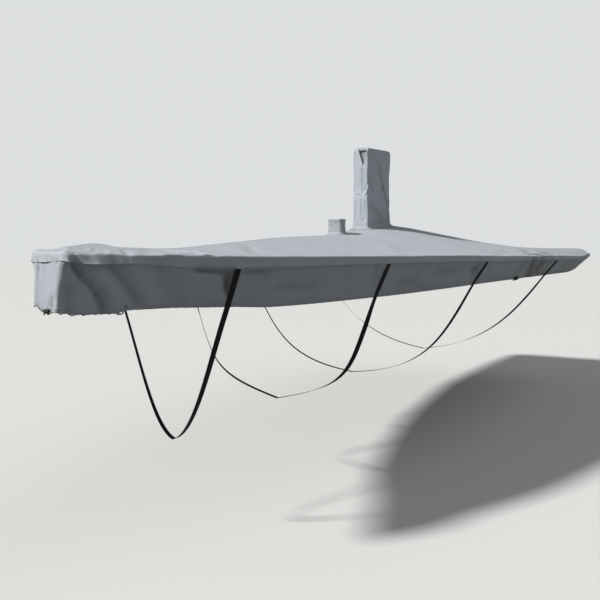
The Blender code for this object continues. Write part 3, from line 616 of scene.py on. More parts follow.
threadFinish = plainFinish("thread", {
    "light": (0.50, 0.51, 0.52), "dark": (0.36, 0.37, 0.38), "scale": 12.0, "roughness": 0.6,
    "bump": 0.0002})
tackFinish = plainFinish("tack", {
    "light": (0.66, 0.67, 0.68), "dark": (0.50, 0.51, 0.52), "scale": 12.0, "roughness": 0.6,
    "bump": 0.0002})
cordFinish = plainFinish("cord", {
    "light": (0.030, 0.030, 0.032), "dark": (0.008, 0.008, 0.009), "scale": 20.0,
    "roughness": 0.55, "bump": 0.0004})


# meshes

cloth = {"thickness": 0.0014, "mergeWithin": 0.00002, "tipRise": 0.001}


def gridMesh(name, points, dirtAndShade, flip=False, closed=False, skip=None, pole=False):
    rows, across = points.shape[:2]
    along = np.linalg.norm(np.diff(points, axis=1), axis=-1)
    v = np.concatenate([np.zeros((rows, 1)), np.cumsum(along, axis=1)], axis=1)
    if closed:
        wrap = np.linalg.norm(points[:, 0] - points[:, -1], axis=-1)
        v = np.column_stack([v, v[:, -1] + wrap])
    run = np.linalg.norm(np.diff(points[:, across // 2], axis=0), axis=-1)
    u = np.concatenate([[0.0], np.cumsum(run)])
    made = bmesh.new()
    uvLayer = made.loops.layers.uv.new("UVMap")
    # per-vertex darkening: real dirt, and painted shade in fold troughs, in the sock's folds and
    # tuck, and under the facing
    dirtAndShadeLayer = made.verts.layers.float.new("dirtAndShade")
    vertices = [[made.verts.new(point) for point in row] for row in points]
    for row, shades in zip(vertices, dirtAndShade):
        for vertex, shade in zip(row, shades):
            vertex[dirtAndShadeLayer] = float(shade)
    for i in range(rows - 1):
        for j in range(across if closed else across - 1):
            if skip is not None and skip[i, j]:
                continue
            corners = [(i, j), (i, j + 1), (i + 1, j + 1), (i + 1, j)]
            if flip:
                corners.reverse()
            face = made.faces.new([vertices[a][b % across] for a, b in corners])
            face.smooth = True
            for loop, (a, b) in zip(face.loops, corners):
                loop[uvLayer].uv = (u[a], v[a, b])
    if pole:
        tip = made.verts.new(points[-1].mean(axis=0) + np.array([0, 0, cloth["tipRise"]]))
        last = vertices[-1]
        for j in range(across):
            made.faces.new([last[j], last[(j + 1) % across], tip]).smooth = True
    loose = [vertex for vertex in made.verts if not vertex.link_faces]
    bmesh.ops.delete(made, geom=loose, context="VERTS")
    bmesh.ops.remove_doubles(made, verts=made.verts, dist=cloth["mergeWithin"])
    return toMesh(name, made)


def toMesh(name, made):
    mesh = bpy.data.meshes.new(name)
    made.to_mesh(mesh)
    made.free()
    return mesh


def linkObject(name, data):
    made = bpy.data.objects.new(name, data)
    bpy.context.scene.collection.objects.link(made)
    return made


def bakeModifiers(thing):
    graph = bpy.context.evaluated_depsgraph_get()
    done = bpy.data.meshes.new_from_object(thing.evaluated_get(graph))
    thing.modifiers.clear()
    old, thing.data = thing.data, done
    bpy.data.meshes.remove(old)
    return thing


def clothPiece(name, points, dirtAndShade, finish=canvas, thickness=cloth["thickness"], outward=False,
               **form):
    mesh = gridMesh(name, points, dirtAndShade, **form)
    mesh.materials.append(finish)
    thing = linkObject(name, mesh)
    solid = thing.modifiers.new("clothThickness", "SOLIDIFY")
    solid.thickness = thickness
    solid.offset = 1.0 if outward else -1.0
    solid.use_even_offset = False
    solid.use_rim = True
    return bakeModifiers(thing)


# top, skirts and end panels

topForm = {"inner": 40, "edgePower": 0.72, "rollSteps": 9, "facingSteps": 7, "lap": 0.005,
           "centreRows": (0.0, 0.0035, 0.0068, 0.0100), "centreSpan": 0.10,
           "centreGrime": 0.10, "centreFade": 0.02, "dirtShadeShare": 0.8, "edgeGrime": 0.06,
           "rollOnTop": 4}
lipForm = {                     # how far the facing's free edge stands off, and from how high up
    "station": (-0.06, -0.03, 0.00, 0.05, 0.11, 0.16, 0.21, 0.27, 0.50, 0.64, 0.74, 0.82, 1.20,
                4.00, 7.32),
    "out": (0.0018, 0.0030, 0.0105, 0.0135, 0.0130, 0.0095, 0.0040, 0.0018, 0.0022, 0.0045,
            0.0060, 0.0050, 0.0044, 0.0040, 0.0038),
    "span": (0.016, 0.018, 0.034, 0.037, 0.037, 0.032, 0.026, 0.024, 0.026, 0.030, 0.030, 0.028,
             0.026, 0.022, 0.022),
    "tip": 0.0035, "tipStart": -0.001, "tipFrom": 0.0018, "tipSpan": 0.009, "curl": 1.35,
    "curlLimit": 1.2,
    "starboardShare": 0.7, "starboardFrom": (0.1, 0.2),
    "notch": 0.0075, "notchAt": 0.085, "notchWidth": 0.030, "wander": 0.0012, "wanderRate": 21.0,
    # round the bow the lip goes by reach, starboard under zero
    "bowReach": (-0.12, -0.075, -0.055, -0.040, -0.005, 0.012, 0.022, 0.045, 0.065, 0.090, 0.12),
    "bowOut": (0.0060, 0.0020, 0.0028, 0.0044, 0.0042, 0.0030, 0.0004, 0.0001, 0.0006, 0.0060,
               0.0115),
}
lipOut = smoothCurve(lipForm["station"], lipForm["out"])
lipSpan = smoothCurve(lipForm["station"], lipForm["span"])
lipBow = smoothCurve(lipForm["bowReach"], lipForm["bowOut"])
skirtForm = {"rows": 42, "hemBand": 0.022, "hemRise": 0.0010, "underFacing": 0.007,
             "underCorner": 0.010, "sink": 0.0022, "ridge": 0.0010,
             "bandRows": (0.0, 0.07, 0.30, 0.55, 0.80, 0.95, 1.0), "bandGap": 0.0015,
             "bandEdge": (-0.0012, 0.0006), "pressed": 0.0006, "pressedSpan": 0.012,
             "underSteps": 4, "sinkOver": 0.003, "ridgeEdge": (0.005, 0.008),
             "hemGrime": 0.40, "hemFade": 0.022, "underFacingShade": 0.16, "facingFade": 0.010}
spacing = {"columns": ("fromStation", "step"),
           "rows": ((-0.022, 0.0060), (0.45, 0.0085), (0.95, 0.0150), (3.70, 0.0110),
                    (4.75, 0.0190)),
           "bow": 26, "corner": 14, "stern": 62}


def sideReaches():
    rows = asRows(spacing)
    ends = [row["fromStation"] for row in rows[1:]] + [coverForm["sternStation"]]
    parts = []
    for row, end in zip(rows, ends):
        low = float(reachAt(row["fromStation"]))
        high = min(float(reachAt(end)), edgeMarks["sternSeam"])
        count = max(2, round((high - low) / row["step"]))
        parts.append(np.linspace(low, high, count, endpoint=False))
    return np.concatenate(parts + [[edgeMarks["sternSeam"]]])


bowReaches = np.linspace(0.0, edgeMarks["bowSeam"], spacing["bow"])
sternReaches = np.concatenate([
    np.linspace(edgeMarks["sternSeam"], edgeMarks["sternFlat"], spacing["corner"]),
    np.linspace(edgeMarks["sternFlat"], edgeMarks["end"], spacing["stern"])[1:]])
allReaches = np.concatenate([bowReaches[:-1], sideReaches()[:-1], sternReaches])


def facingLift(column, depth):
    form, reach, eave = lipForm, column["reach"], column["eave"]
    span = lipSpan(column["station"])
    share = np.clip((depth - eave + span) / span, 0.0, form["curlLimit"])
    signed = reach * (1.0 if column["side"] == "port" else -1.0)
    out = np.where(np.abs(reach) < form["bowReach"][-1], lipBow(signed),
                   lipOut(column["station"]))
    if column["side"] == "starboard":
        less = smoothStep(reach, *form["starboardFrom"])
        out = out * (1.0 - (1.0 - form["starboardShare"]) * less)
    turned = form["tip"] * smoothStep(depth - eave, form["tipStart"], topForm["lap"])
    return (out * share ** form["curl"]
            + turned * np.clip((out - form["tipFrom"]) / form["tipSpan"], 0.0, 1.0))


def facingEnd(column):
    form, reach = lipForm, column["reach"]
    wander = form["wander"] * np.sin(reach * form["wanderRate"] + sideSigns[column["side"]])
    if column["side"] == "port":
        away = (reach - form["notchAt"]) / form["notchWidth"]
        wander = wander - form["notch"] * np.exp(-away ** 2)
    return column["eave"] + topForm["lap"] + wander


def topHalf(side):
    form = topForm
    column = columnsFor(side, allReaches)
    outerX, outerH = rollInner(column)
    outer = np.hypot(outerH, outerX - column["spine"])
    near = np.array([form["centreRows"]]) / outer * np.minimum(1.0, outer / form["centreSpan"])
    rest = np.linspace(0.0, 1.0, form["inner"])[1:] ** form["edgePower"]
    share = np.concatenate([near, near[:, -1:] + (1.0 - near[:, -1:]) * rest], axis=1)
    turns = np.linspace(0.0, math.pi / 2, form["rollSteps"])[None, 1:]
    steps = np.linspace(0.0, 1.0, form["facingSteps"] + 1)[None, 1:]
    depth = column["roll"] + (facingEnd(column) - column["roll"]) * steps
    facing = sidePoints(column, depth, facingLift(column, depth))
    points = np.concatenate([topPoints(column, share), rollPoints(column, turns), facing], axis=1)
    x, half = points[:, :, 0] + originStation, np.abs(points[:, :, 1])
    inward = np.hypot(column["station"] - x, column["edgeHalf"] - half)
    onTop = np.arange(points.shape[1])[None, :] < share.shape[1] + form["rollOnTop"]
    over = np.where(onTop, -inward, column["sheer"] - points[:, :, 2])
    # the top is darkened by the marks, some of them painted shade, and by painted shade in the fold
    # troughs
    dirtAndShade = (form["centreGrime"] * np.exp(-half / form["centreFade"])
             + form["dirtShadeShare"] * dirtAndCreaseShade(side, column["reach"], over))
    dirtAndShade[:, -2:] += form["edgeGrime"]
    centreX, centreH = (x[:-1, :-1] + x[1:, 1:]) / 2, (half[:-1, :-1] + half[1:, 1:]) / 2
    skip = np.zeros(centreX.shape, bool)
    for sleeve in (collarForm, sockForm):   # the top is open under the sleeves
        margin = sleeve["footMargin"]
        skip |= ((centreX > sleeve["front"] - margin) & (centreX < sleeve["aft"] + margin)
                 & (centreH < sleeve["halfWidth"] + margin))
    return clothPiece("top" + side.capitalize(), points, dirtAndShade, flip=side == "starboard",
                      skip=skip)


hemForm = {                     # how much lower or higher the hem hangs, by station
    "station": (-0.06, 0.10, 0.21, 0.25, 0.40, 0.70, 1.50, 7.32),
    "lower": (0.0020, 0.0035, 0.0050, -0.0070, -0.0040, 0.0000, 0.0, 0.0),
    "gather": (0.0011, 0.0014, 0.0014, 0.0006, 0.0004, 0.0004, 0.0006, 0.0008),
    "gatherLength": 0.043, "sway": 2.2, "swayRate": 23.0, "second": 0.5, "secondRate": 1.83,
    "secondShift": 1.0, "drawnShare": 0.9, "drawnSpan": 0.03, "puckerShift": 0.01,
}
hemLower = smoothCurve(hemForm["station"], hemForm["lower"])
hemGather = smoothCurve(hemForm["station"], hemForm["gather"])


def gatherTurn(reach, shift):
    return (2 * math.pi * reach / hemForm["gatherLength"]
            + hemForm["sway"] * np.sin(reach * hemForm["swayRate"] + shift))


def looseHem(column):
    return column["drop"] + hemLower(column["station"])


def hemDepth(column):
    form = hemForm
    turn = gatherTurn(column["reach"], sideSigns[column["side"]])
    second = form["second"] * np.sin(form["secondRate"] * turn + form["secondShift"])
    return looseHem(column) + hemGather(column["station"]) * (np.sin(turn) + second)


def skirtPoints(column):
    form, side, eave, hem = skirtForm, column["side"], column["eave"], hemDepth(column)
    top, bandTop = eave - form["underFacing"], hem - form["hemBand"]
    steps = np.linspace(0.0, 1.0, form["rows"])[None, :]
    depth = np.concatenate([top + (bandTop - form["bandGap"] - top) * steps,
                            bandTop + form["hemBand"] * np.array([form["bandRows"]])], axis=1)
    onBand = smoothStep(depth - bandTop, *form["bandEdge"])
    drawn = (hemForm["drawnShare"] * hemGather(column["station"])
             * np.cos(gatherTurn(column["reach"], 0.0)))
    lift = (form["hemRise"] * onBand
            + drawn * smoothStep(depth, bandTop - hemForm["drawnSpan"], hem)
            + pucker(side, column["reach"] + hemForm["puckerShift"], depth - bandTop)
            - form["pressed"] * (1.0 - smoothStep(depth - eave, 0.0, form["pressedSpan"])))
    # painted shade just under the facing, dirt towards the hem, then the marks and the painted
    # shade in the fold troughs
    dirtAndShade = (form["hemGrime"] * np.exp(-(hem - depth) / form["hemFade"])
             + form["underFacingShade"] * np.exp(-(depth - eave) / form["facingFade"])
             + dirtAndCreaseShade(side, column["reach"], depth))
    return depth, lift, np.clip(dirtAndShade, 0.0, 1.0)


def skirtPanel(side):
    form, first, last = skirtForm, edgeMarks["bowSeam"], edgeMarks["sternSeam"]
    column = columnsFor(side, np.concatenate([
        np.linspace(first - form["underCorner"], first, form["underSteps"])[:-1], sideReaches(),
        np.linspace(last, last + form["underCorner"], form["underSteps"])[1:]]))
    depth, lift, dirtAndShade = skirtPoints(column)
    inFrom = np.minimum(column["reach"] - first, last - column["reach"])
    inside = smoothStep(inFrom, -form["sinkOver"], form["sinkOver"])
    lift = lift - form["sink"] * (1.0 - inside)
    return clothPiece("skirt" + side.capitalize(), sidePoints(column, depth, lift), dirtAndShade,
                      flip=side == "starboard")


def endPanel(name, reach, seam, middle):
    lines, shades = {}, {}
    for side in sideSigns:
        column = columnsFor(side, reach)
        depth, lift, shades[side] = skirtPoints(column)
        beside = smoothStep(np.abs(column["reach"] - seam), *skirtForm["ridgeEdge"])
        lines[side] = sidePoints(column, depth, lift + skirtForm["ridge"] * (1.0 - beside))
    centre = (lines["port"][middle] + lines["starboard"][middle]) / 2
    for side in sideSigns:
        lines[side][middle] = centre
    if middle == 0:             # the bow's panel runs from starboard to port, the stern's back
        points, dirtAndShade = (np.concatenate([part["starboard"][::-1], part["port"][1:]])
                         for part in (lines, shades))
    else:
        points, dirtAndShade = (np.concatenate([part["port"], part["starboard"][::-1][1:]])
                         for part in (lines, shades))
    return clothPiece(name, points, dirtAndShade)


# sleeves: the open collar and the closed sock

collarForm = {
    "front": 2.614, "aft": 2.708, "halfWidth": 0.062, "corner": 0.026, "top": 0.270,
    "topRise": 0.0, "flare": 0.022, "flange": 0.008, "rings": 30, "hem": 0.018, "wear": 0.45,
    "share": (0.0, 0.45, 0.80, 1.0),
    "frontShift": (0.0, 0.003, 0.001, 0.0), "aftShift": (0.0, -0.002, -0.003, 0.0),
    "widen": (0.0, -0.002, -0.003, 0.0),
    "steps": {"corner": 9, "side": 16, "end": 14}, "footMargin": 0.004,
}
sockForm = {
    "front": 3.076, "aft": 3.547, "halfWidth": 0.070, "corner": 0.014, "top": 0.866,
    "topRise": 0.028, "flare": 0.030, "flange": 0.008, "rings": 190,
    "share": (0.0, 0.16, 0.32, 0.48, 0.62, 0.76, 0.88, 0.96, 0.988, 1.0),
    "frontShift": (0.0, 0.003, 0.000, 0.006, 0.002, -0.001, 0.001, 0.003, 0.010, 0.028),
    "aftShift": (0.0, -0.010, -0.018, -0.021, -0.016, -0.008, -0.001, -0.004, -0.016, -0.040),
    "widen": (0.0, -0.002, -0.005, -0.002, -0.006, -0.002, -0.003, -0.004, -0.010, -0.026),
    "steps": {"corner": 6, "side": 34, "end": 40}, "footMargin": 0.004,
    # the rows that close its top: how far in, and how much higher
    "lid": ((0.90, 0.0006), (0.70, 0.0012), (0.45, 0.0016), (0.20, 0.0018)),
}
# folds on the sock's faces: across is the half breadth (port under zero) on the front and aft
# faces, and the station on the port and starboard faces
sockFolds = {
    "columns": ("acrossA", "heightA", "acrossB", "heightB", "width", "rise"), "per": 1000,
    "rows": {
        "front": (
            (-22, 725, -18, 690, 5.5, -3), (-18, 690, -16, 500, 5, -5.2),
            (-28, 690, -28, 520, 7.5, 2.6), (-12, 460, -8, 310, 5.5, -4.6),
            (-21, 450, -18, 300, 8, 2.8), (-38, 528, -66, 580, 7, -5.5),
            (-50, 500, -64, 556, 10.5, 7), (-30, 480, -52, 500, 9.5, 3),
            (28, 488, -14, 478, 9, -2.6), (26, 506, -6, 496, 9.5, 2), (48, 835, 46, 745, 7, -3),
            (58, 640, 50, 520, 10, -3), (-52, 440, -56, 300, 11, -3),
            (40, 420, 46, 290, 12, -2.8), (-14, 286, -30, 280, 9, -3.4),
        ),
        "port": (
            (3295, 730, 3386, 566, 19, -5.5), (3386, 566, 3515, 390, 19, -6.5),
            (3370, 770, 3440, 620, 36, 6), (3460, 560, 3530, 440, 20, 5),
            (3500, 360, 3535, 260, 18, -4), (3140, 400, 3330, 330, 35, -4),
            (3110, 620, 3160, 520, 20, -4), (3160, 840, 3260, 760, 26, -1),
        ),
        "starboard": (
            (3180, 740, 3420, 520, 30, -6), (3300, 480, 3500, 340, 28, -5),
            (3120, 560, 3170, 420, 20, -4), (3400, 800, 3480, 640, 30, 5),
        ),
        "aft": (
            (0, 700, 6, 340, 4.5, -3.5), (-30, 560, 30, 520, 12, -5), (20, 430, -30, 400, 10, -4),
            (-55, 720, -40, 600, 12, -4),
        ),
    },
}
sockTuck = {                    # the corner folded in at the top of the front face
    "depth": 0.026, "apexHeight": 0.716, "apexAcross": -0.026, "leftTop": 0.026,
    "rightTop": -0.063, "leastDepth": 0.75, "edge": 0.007, "apexSpan": 0.12,
    "flapFrom": 0.80, "flapSpan": 0.06, "flapShare": 0.72,
    "lip": 0.0035, "lipWidth": 0.004, "lipSpan": 0.2,
}
sleeveCloth = {                 # the flange, ripples of both sleeves, the collar's hem and gathers
    "lift": 0.0017, "footSpread": 0.002, "flareFrom": 12, "flareSteps": 8,
    "ripple": 0.0008, "rippleLength": 0.11, "rippleLean": 3.0, "rippleRise": 11.0,
    "hemRise": 0.0012, "hemEdge": 0.001, "gather": 0.0010, "gatherRates": (31, 37),
    "gatherOver": (0.55, 1.0), "wave": 0.0016, "waveLength": 0.07, "waveOver": (0.8, 1.0),
}
# fold and tuck paint the shade in the sock's folds and in its folded-in corner; foot darkens each
# sleeve towards its foot
sleeveDarkening = {"fold": 0.8, "foldDepth": 0.008, "tuck": 0.80, "tuckDepth": 0.012, "foot": 0.30,
               "footFade": 0.06}
faceNormals = {"front": (-1.0, 0.0), "aft": (1.0, 0.0), "port": (0.0, -1.0),
               "starboard": (0.0, 1.0)}


def roundedPlan(shape, spread=0.0, frontShift=0.0, aftShift=0.0, widen=0.0):
    front, aft = shape["front"] - spread + frontShift, shape["aft"] + spread + aftShift
    halfWidth, corner = shape["halfWidth"] + spread + widen, shape["corner"] + spread
    steps = shape["steps"]
    centres = ((aft - corner, halfWidth - corner), (front + corner, halfWidth - corner),
               (front + corner, corner - halfWidth), (aft - corner, corner - halfWidth))
    points, normals = [], []

    def onCorner(number, step):
        x, y = centres[number % 4]
        turn = math.radians(90 * (number % 4) + 90 * step / steps["corner"])
        normal = (math.cos(turn), math.sin(turn))
        return (x + corner * normal[0], y + corner * normal[1]), normal

    for number in range(4):
        for step in range(steps["corner"] + 1):
            point, normal = onCorner(number, step)
            points.append(point)
            normals.append(normal)
        start, end = points[-1], onCorner(number + 1, 0)[0]
        count = steps["side"] if number % 2 == 0 else steps["end"]
        for share in (step / count for step in range(1, count)):
            points.append(tuple(a + (b - a) * share for a, b in zip(start, end)))
            normals.append(normals[-1])
    return np.array(points), np.array(normals)


def towards(normals, face):
    return np.clip(normals @ np.array(faceNormals[face]), 0.0, 1.0)


def sleeveFoldRise(plan, normals, height):
    total = np.zeros(len(plan))
    for fold in asRows(sockFolds):
        face = fold["group"]
        across = plan[:, 1] if face in ("front", "aft") else plan[:, 0]
        crease = tuple(fold[name] for name in sockFolds["columns"])
        total += towards(normals, face) ** 2 * creaseRise(across, height, crease)
    return total


def tuckIn(plan, normals, height):
    form = sockTuck
    up = np.clip((height - form["apexHeight"]) / (sockForm["top"] - form["apexHeight"]), 0.0, 1.0)
    left, right = (form["apexAcross"] + (form[edge] - form["apexAcross"]) * up
                   for edge in ("leftTop", "rightTop"))
    inside = np.minimum(left - plan[:, 1], plan[:, 1] - right)
    least, flapFrom = form["leastDepth"], form["flapFrom"]
    deeper = least + (1.0 - least) * smoothStep(plan[:, 1], right, left)
    flap = 1.0 - form["flapShare"] * smoothStep(up, flapFrom, flapFrom + form["flapSpan"])
    sunk = (form["depth"] * deeper * flap * smoothStep(inside, 0.0, form["edge"])
            * smoothStep(up, 0.0, form["apexSpan"]))
    lip = (form["lip"] * np.exp(-(inside / form["lipWidth"] + 1.0) ** 2)
           * smoothStep(up, 0.0, form["lipSpan"]))
    return (sunk - lip) * towards(normals, "front")


def sleeveRow(shape, curves, share, foot):
    shifts = {name: float(curve(share)) for name, curve in curves.items()}
    plan, normals = roundedPlan(shape, **shifts)
    x, y = plan[:, 0], plan[:, 1]
    along = np.clip((x - shape["front"]) / (shape["aft"] - shape["front"]), 0.0, 1.0)
    height = foot + (shape["top"] + shape["topRise"] * along - foot) * share
    form = sleeveCloth
    turn = 2 * math.pi * (x + y) / form["rippleLength"] + share * form["rippleLean"]
    out = form["ripple"] * np.sin(turn) * np.sin(share * form["rippleRise"])
    if shape is sockForm:
        folds, sunk = sleeveFoldRise(plan, normals, height), tuckIn(plan, normals, height)
        out = out + folds - sunk
        # painted shade in the sock's folds and in its folded-in corner
        shade = (sleeveDarkening["fold"] * np.clip(-folds / sleeveDarkening["foldDepth"], 0.0, 1.0)
                 + sleeveDarkening["tuck"] * np.clip(sunk / sleeveDarkening["tuckDepth"], 0.0, 1.0))
    else:
        overHem = height - (shape["top"] - shape["hem"])
        gather = np.sin(2 * math.pi * (plan @ np.array(form["gatherRates"])))
        wave = np.sin(2 * math.pi * y / form["waveLength"])
        out = (out + form["hemRise"] * smoothStep(overHem, -form["hemEdge"], form["hemEdge"])
               + form["gather"] * gather * smoothStep(share, *form["gatherOver"]))
        height = height + form["wave"] * wave * smoothStep(share, *form["waveOver"])
        shade = np.full(len(plan), shape["wear"])
    points = np.column_stack([plan + normals * out[:, None], height])
    return points, sleeveDarkening["foot"] * np.exp(-share / sleeveDarkening["footFade"]) + shade


def sleevePiece(name, shape):
    curves = {key: smoothCurve(shape["share"], shape[key])
              for key in ("frontShift", "aftShift", "widen")}
    rows, shades = [], []
    form, flare = sleeveCloth, shape["flare"]
    spreads = [(flare + shape["flange"], 0.0), (flare + form["footSpread"], 0.0)]
    for turn in np.radians(np.linspace(form["flareFrom"], 90, form["flareSteps"])):
        spreads.append((flare * (1 - math.sin(turn)), flare * (1 - math.cos(turn))))
    for spread, rise in spreads:
        plan, normals = roundedPlan(shape, spread)
        height = topHeight(plan[:, 0], plan[:, 1]) + rise + form["lift"]
        rows.append(np.column_stack([plan, height]))
        shades.append(np.full(len(plan), sleeveDarkening["foot"]))
    foot = rows[-1][:, 2]
    for share in np.linspace(0.0, 1.0, shape["rings"])[1:]:
        points, shade = sleeveRow(shape, curves, share, foot)
        rows.append(points)
        shades.append(shade)
    last, middle = rows[-1], rows[-1].mean(axis=0)
    for shrink, rise in shape.get("lid", ()):
        rows.append(middle + (last - middle) * shrink + np.array([0.0, 0.0, rise]))
        shades.append(shades[-1] * shrink)
    points = np.array(rows) - np.array([originStation, 0.0, 0.0])
    return clothPiece(name, points, np.array(shades), closed=True, pole="lid" in shape)


pieces = {}
for side in sideSigns:
    pieces["top_" + side] = topHalf(side)
    print("top", side, "made")
for side in sideSigns:
    pieces["skirt_" + side] = skirtPanel(side)
pieces["bow_panel"] = endPanel("bowPanel", bowReaches, edgeMarks["bowSeam"], 0)
pieces["stern_panel"] = endPanel("sternPanel", sternReaches, edgeMarks["sternSeam"], -1)
print("skirts and end panels made")
pieces["collar"] = sleevePiece("collarSleeve", collarForm)
pieces["sock"] = sleevePiece("sockSleeve", sockForm)
print("collar and sock made")


# belly straps

strapForm = {
    # turn and stand are how many degrees the aft edge stands out, below the hem and on the skirt
    "columns": ("station", "lowest", "fall", "spread", "rise", "slope", "turn", "headShift",
                "stand"),
    "rows": ((0.748, 0.985, 0.41, 0.41, 0.33, 0.40, 0.0, -0.025, 0.0),
             (1.800, 0.950, 0.72, 0.80, 0.24, 0.40, 24.0, -0.004, 3.0),
             (2.950, 0.940, 0.61, 0.63, 0.10, 0.56, 12.0, 0.0, 6.0),
             (4.600, 0.940, 0.58, 0.52, 0.14, 0.75, 34.0, -0.030, 26.0)),
    "width": 0.030, "thickness": 0.0018, "lift": 0.0010, "skirtSteps": 22, "arcSteps": 44,
    "profile": (-1.0, -0.90, -0.5, 0.0, 0.5, 0.90, 1.0), "turning": (0.0, 0.15),
    "settling": (0.3, 0.9), "standing": (0.02, 0.22), "underFacing": 0.002,
    "overHem": (0.04, 0.02), "dirtAndShade": 0.10,
}


def strapHalf(side, row, across):
    form, sign = strapForm, sideSigns[side]
    footReach = float(reachAt(row["station"] + across))
    headReach = float(reachAt(row["station"] + row["headShift"] + across))
    top = float(oneColumn(side, headReach)["eave"][0, 0]) - form["underFacing"]
    hem = float(oneColumn(side, footReach)["drop"][0, 0])
    shares = np.linspace(0.0, 1.0, form["skirtSteps"])
    points = []
    for share in shares:
        depth = top + (hem - top) * share
        onHem = smoothStep(depth, hem - form["overHem"][0], hem - form["overHem"][1])
        points.append(onSide(side, headReach + (footReach - headReach) * share, depth,
                             form["lift"] + skirtForm["hemRise"] * onHem))
    straight = np.linspace(points[0], points[-1], len(points))
    for share, point, taut in zip(shares, points, straight):
        tilt = math.radians(row["stand"]) * smoothStep(share, *form["standing"])
        away = (across + form["width"] / 2) * math.sin(tilt)
        point[0] = taut[0] - across * (1.0 - math.cos(tilt))
        point[1] = sign * (max(abs(point[1]), abs(taut[1])) + away)
    middleX, half, start = straight[-1][0] - across, abs(straight[-1][1]), straight[-1][2]
    stood = form["width"] / 2 * min(row["stand"], 1.0)
    lowest, fall = -row["lowest"], row["fall"] * (start + row["lowest"])
    handles = np.array([(half, start), (half - row["slope"] * fall, start - fall),
                        (half * row["spread"], lowest + half * row["spread"] * row["rise"]),
                        (0.0, lowest)])
    for t in (i / form["arcSteps"] for i in range(1, form["arcSteps"] + 1)):
        weights = np.array([(1 - t) ** 3, 3 * t * (1 - t) ** 2, 3 * t * t * (1 - t), t ** 3])
        out, height = weights @ handles
        settled = 1.0 - smoothStep(t, *form["settling"])
        turned = row["stand"] + (row["turn"] - row["stand"]) * smoothStep(t, *form["turning"])
        turned = math.radians(turned) * settled
        away = (across + stood * settled) * math.sin(turned)
        points.append(np.array([middleX + across * math.cos(turned), sign * (out + away), height]))
    return points


def beltStrap(number, row):
    lines = []
    for across in (place * strapForm["width"] / 2 for place in strapForm["profile"]):
        lines.append(strapHalf("port", row, across) + strapHalf("starboard", row, across)[-2::-1])
    points = np.array(lines)
    return clothPiece(f"bellyStrap{number}", points, np.full(points.shape[:2], strapForm["dirtAndShade"]),
                      finish=webbing, thickness=strapForm["thickness"], outward=True)


for number, row in enumerate(asRows(strapForm), start=1):
    pieces[f"strap_{number}"] = beltStrap(number, row)
print("belly straps made")


# cords at the hem

loopForm = {                    # the first comes out under the hem, the second is tied over it
    "columns": ("station", "width", "hang", "seatLift", "lift"),
    "rows": ((0.222, 0.034, 0.006, -0.0060, -0.0010), (3.750, 0.072, 0.010, 0.0056, 0.0056)),
    "radius": 0.0032, "seat": 0.024, "points": 20,
}
knotForm = {"turns": 5, "radius": 0.0095, "pitch": 0.0070, "cord": 0.0036, "pointsPerTurn": 14,
            "over": 0.004}
drawcord = {                    # in the hem round the bow, showing where the hem is gathered up
    "radius": 0.0025, "end": 0.190, "seat": 0.0036, "steps": 90, "sunk": 0.0012,
    "fullyShown": 0.006,
    "columns": ("reach", "width", "shown"),
    "rows": {
        "port": ((0.020, 0.030, 0.0085), (0.112, 0.014, 0.0085), (0.172, 0.014, 0.0080),
                 (0.225, 0.008, 0.0060)),
        "starboard": ((0.040, 0.030, 0.0090), (0.090, 0.012, 0.0070), (0.150, 0.009, 0.0062),
                      (0.240, 0.009, 0.0062)),
    },
    "knotReach": 0.012, "knotRadius": 0.0060, "knotTurns": 5, "knotCord": 0.0034,
    "knotLength": 0.034, "knotOver": 0.006, "knotLift": 0.0048,
    "tails": ((0.034, 0.008), (-0.012, 0.010)),     # how far along, and how far down
    "tailLift": 0.004, "tailCurve": 0.8, "tailSteps": 10,
}


def tubeAlong(name, path, radius, sides=10):
    curve = bpy.data.curves.new(name, "CURVE")
    curve.dimensions = "3D"
    curve.bevel_depth = radius
    curve.bevel_resolution = sides // 2 - 2
    curve.use_fill_caps = True
    spline = curve.splines.new("POLY")
    spline.points.add(len(path) - 1)
    for point, place in zip(spline.points, path):
        point.co = (*place, 1.0)
    curve.materials.append(cordFinish)
    temporary = linkObject(name + "Curve", curve)
    bpy.context.view_layer.update()
    graph = bpy.context.evaluated_depsgraph_get()
    mesh = bpy.data.meshes.new_from_object(temporary.evaluated_get(graph))
    mesh.name = name
    bpy.data.objects.remove(temporary)
    for face in mesh.polygons:
        face.use_smooth = True
    return linkObject(name, mesh)


def hemCord(side, number, row):
    form = loopForm
    middle = float(reachAt(row["station"]))
    hem = float(looseHem(oneColumn(side, middle))[0, 0])
    half, seatLift = row["width"] / 2, row["seatLift"]
    seats = [(hem - form["seat"] * share, seatLift) for share in (1.0, 0.5)]
    path = [(-half, *seat) for seat in seats]
    for i in range(form["points"]):
        turn = math.pi * i / (form["points"] - 1)
        path.append((-half * math.cos(turn), hem + row["hang"] * math.sin(turn),
                     seatLift + (row["lift"] - seatLift) * math.sin(turn)))
    path += [(half, *seat) for seat in seats[::-1]]
    points = [onSide(side, middle + offset, depth, lift) for offset, depth, lift in path]
    return tubeAlong(f"hemCord{side.capitalize()}{number}", points, form["radius"])


def knotPath(side, middle, hem, turns, length, radius, lift):
    steps = turns * knotForm["pointsPerTurn"]
    points = []
    for i in range(steps + 1):
        turn = 2 * math.pi * i / knotForm["pointsPerTurn"]
        points.append(onSide(side, middle + length * (i / steps - 0.5),
                             hem + radius * math.sin(turn), lift + radius * math.cos(turn)))
    return points


def hemKnot(side, number, row):
    form = knotForm
    middle = float(reachAt(row["station"]))
    hem = float(oneColumn(side, middle)["drop"][0, 0]) - form["over"]
    points = knotPath(side, middle, hem, form["turns"], form["turns"] * form["pitch"],
                      form["radius"], row["lift"] + form["radius"])
    return tubeAlong(f"hemKnot{side.capitalize()}{number}", points, form["cord"])


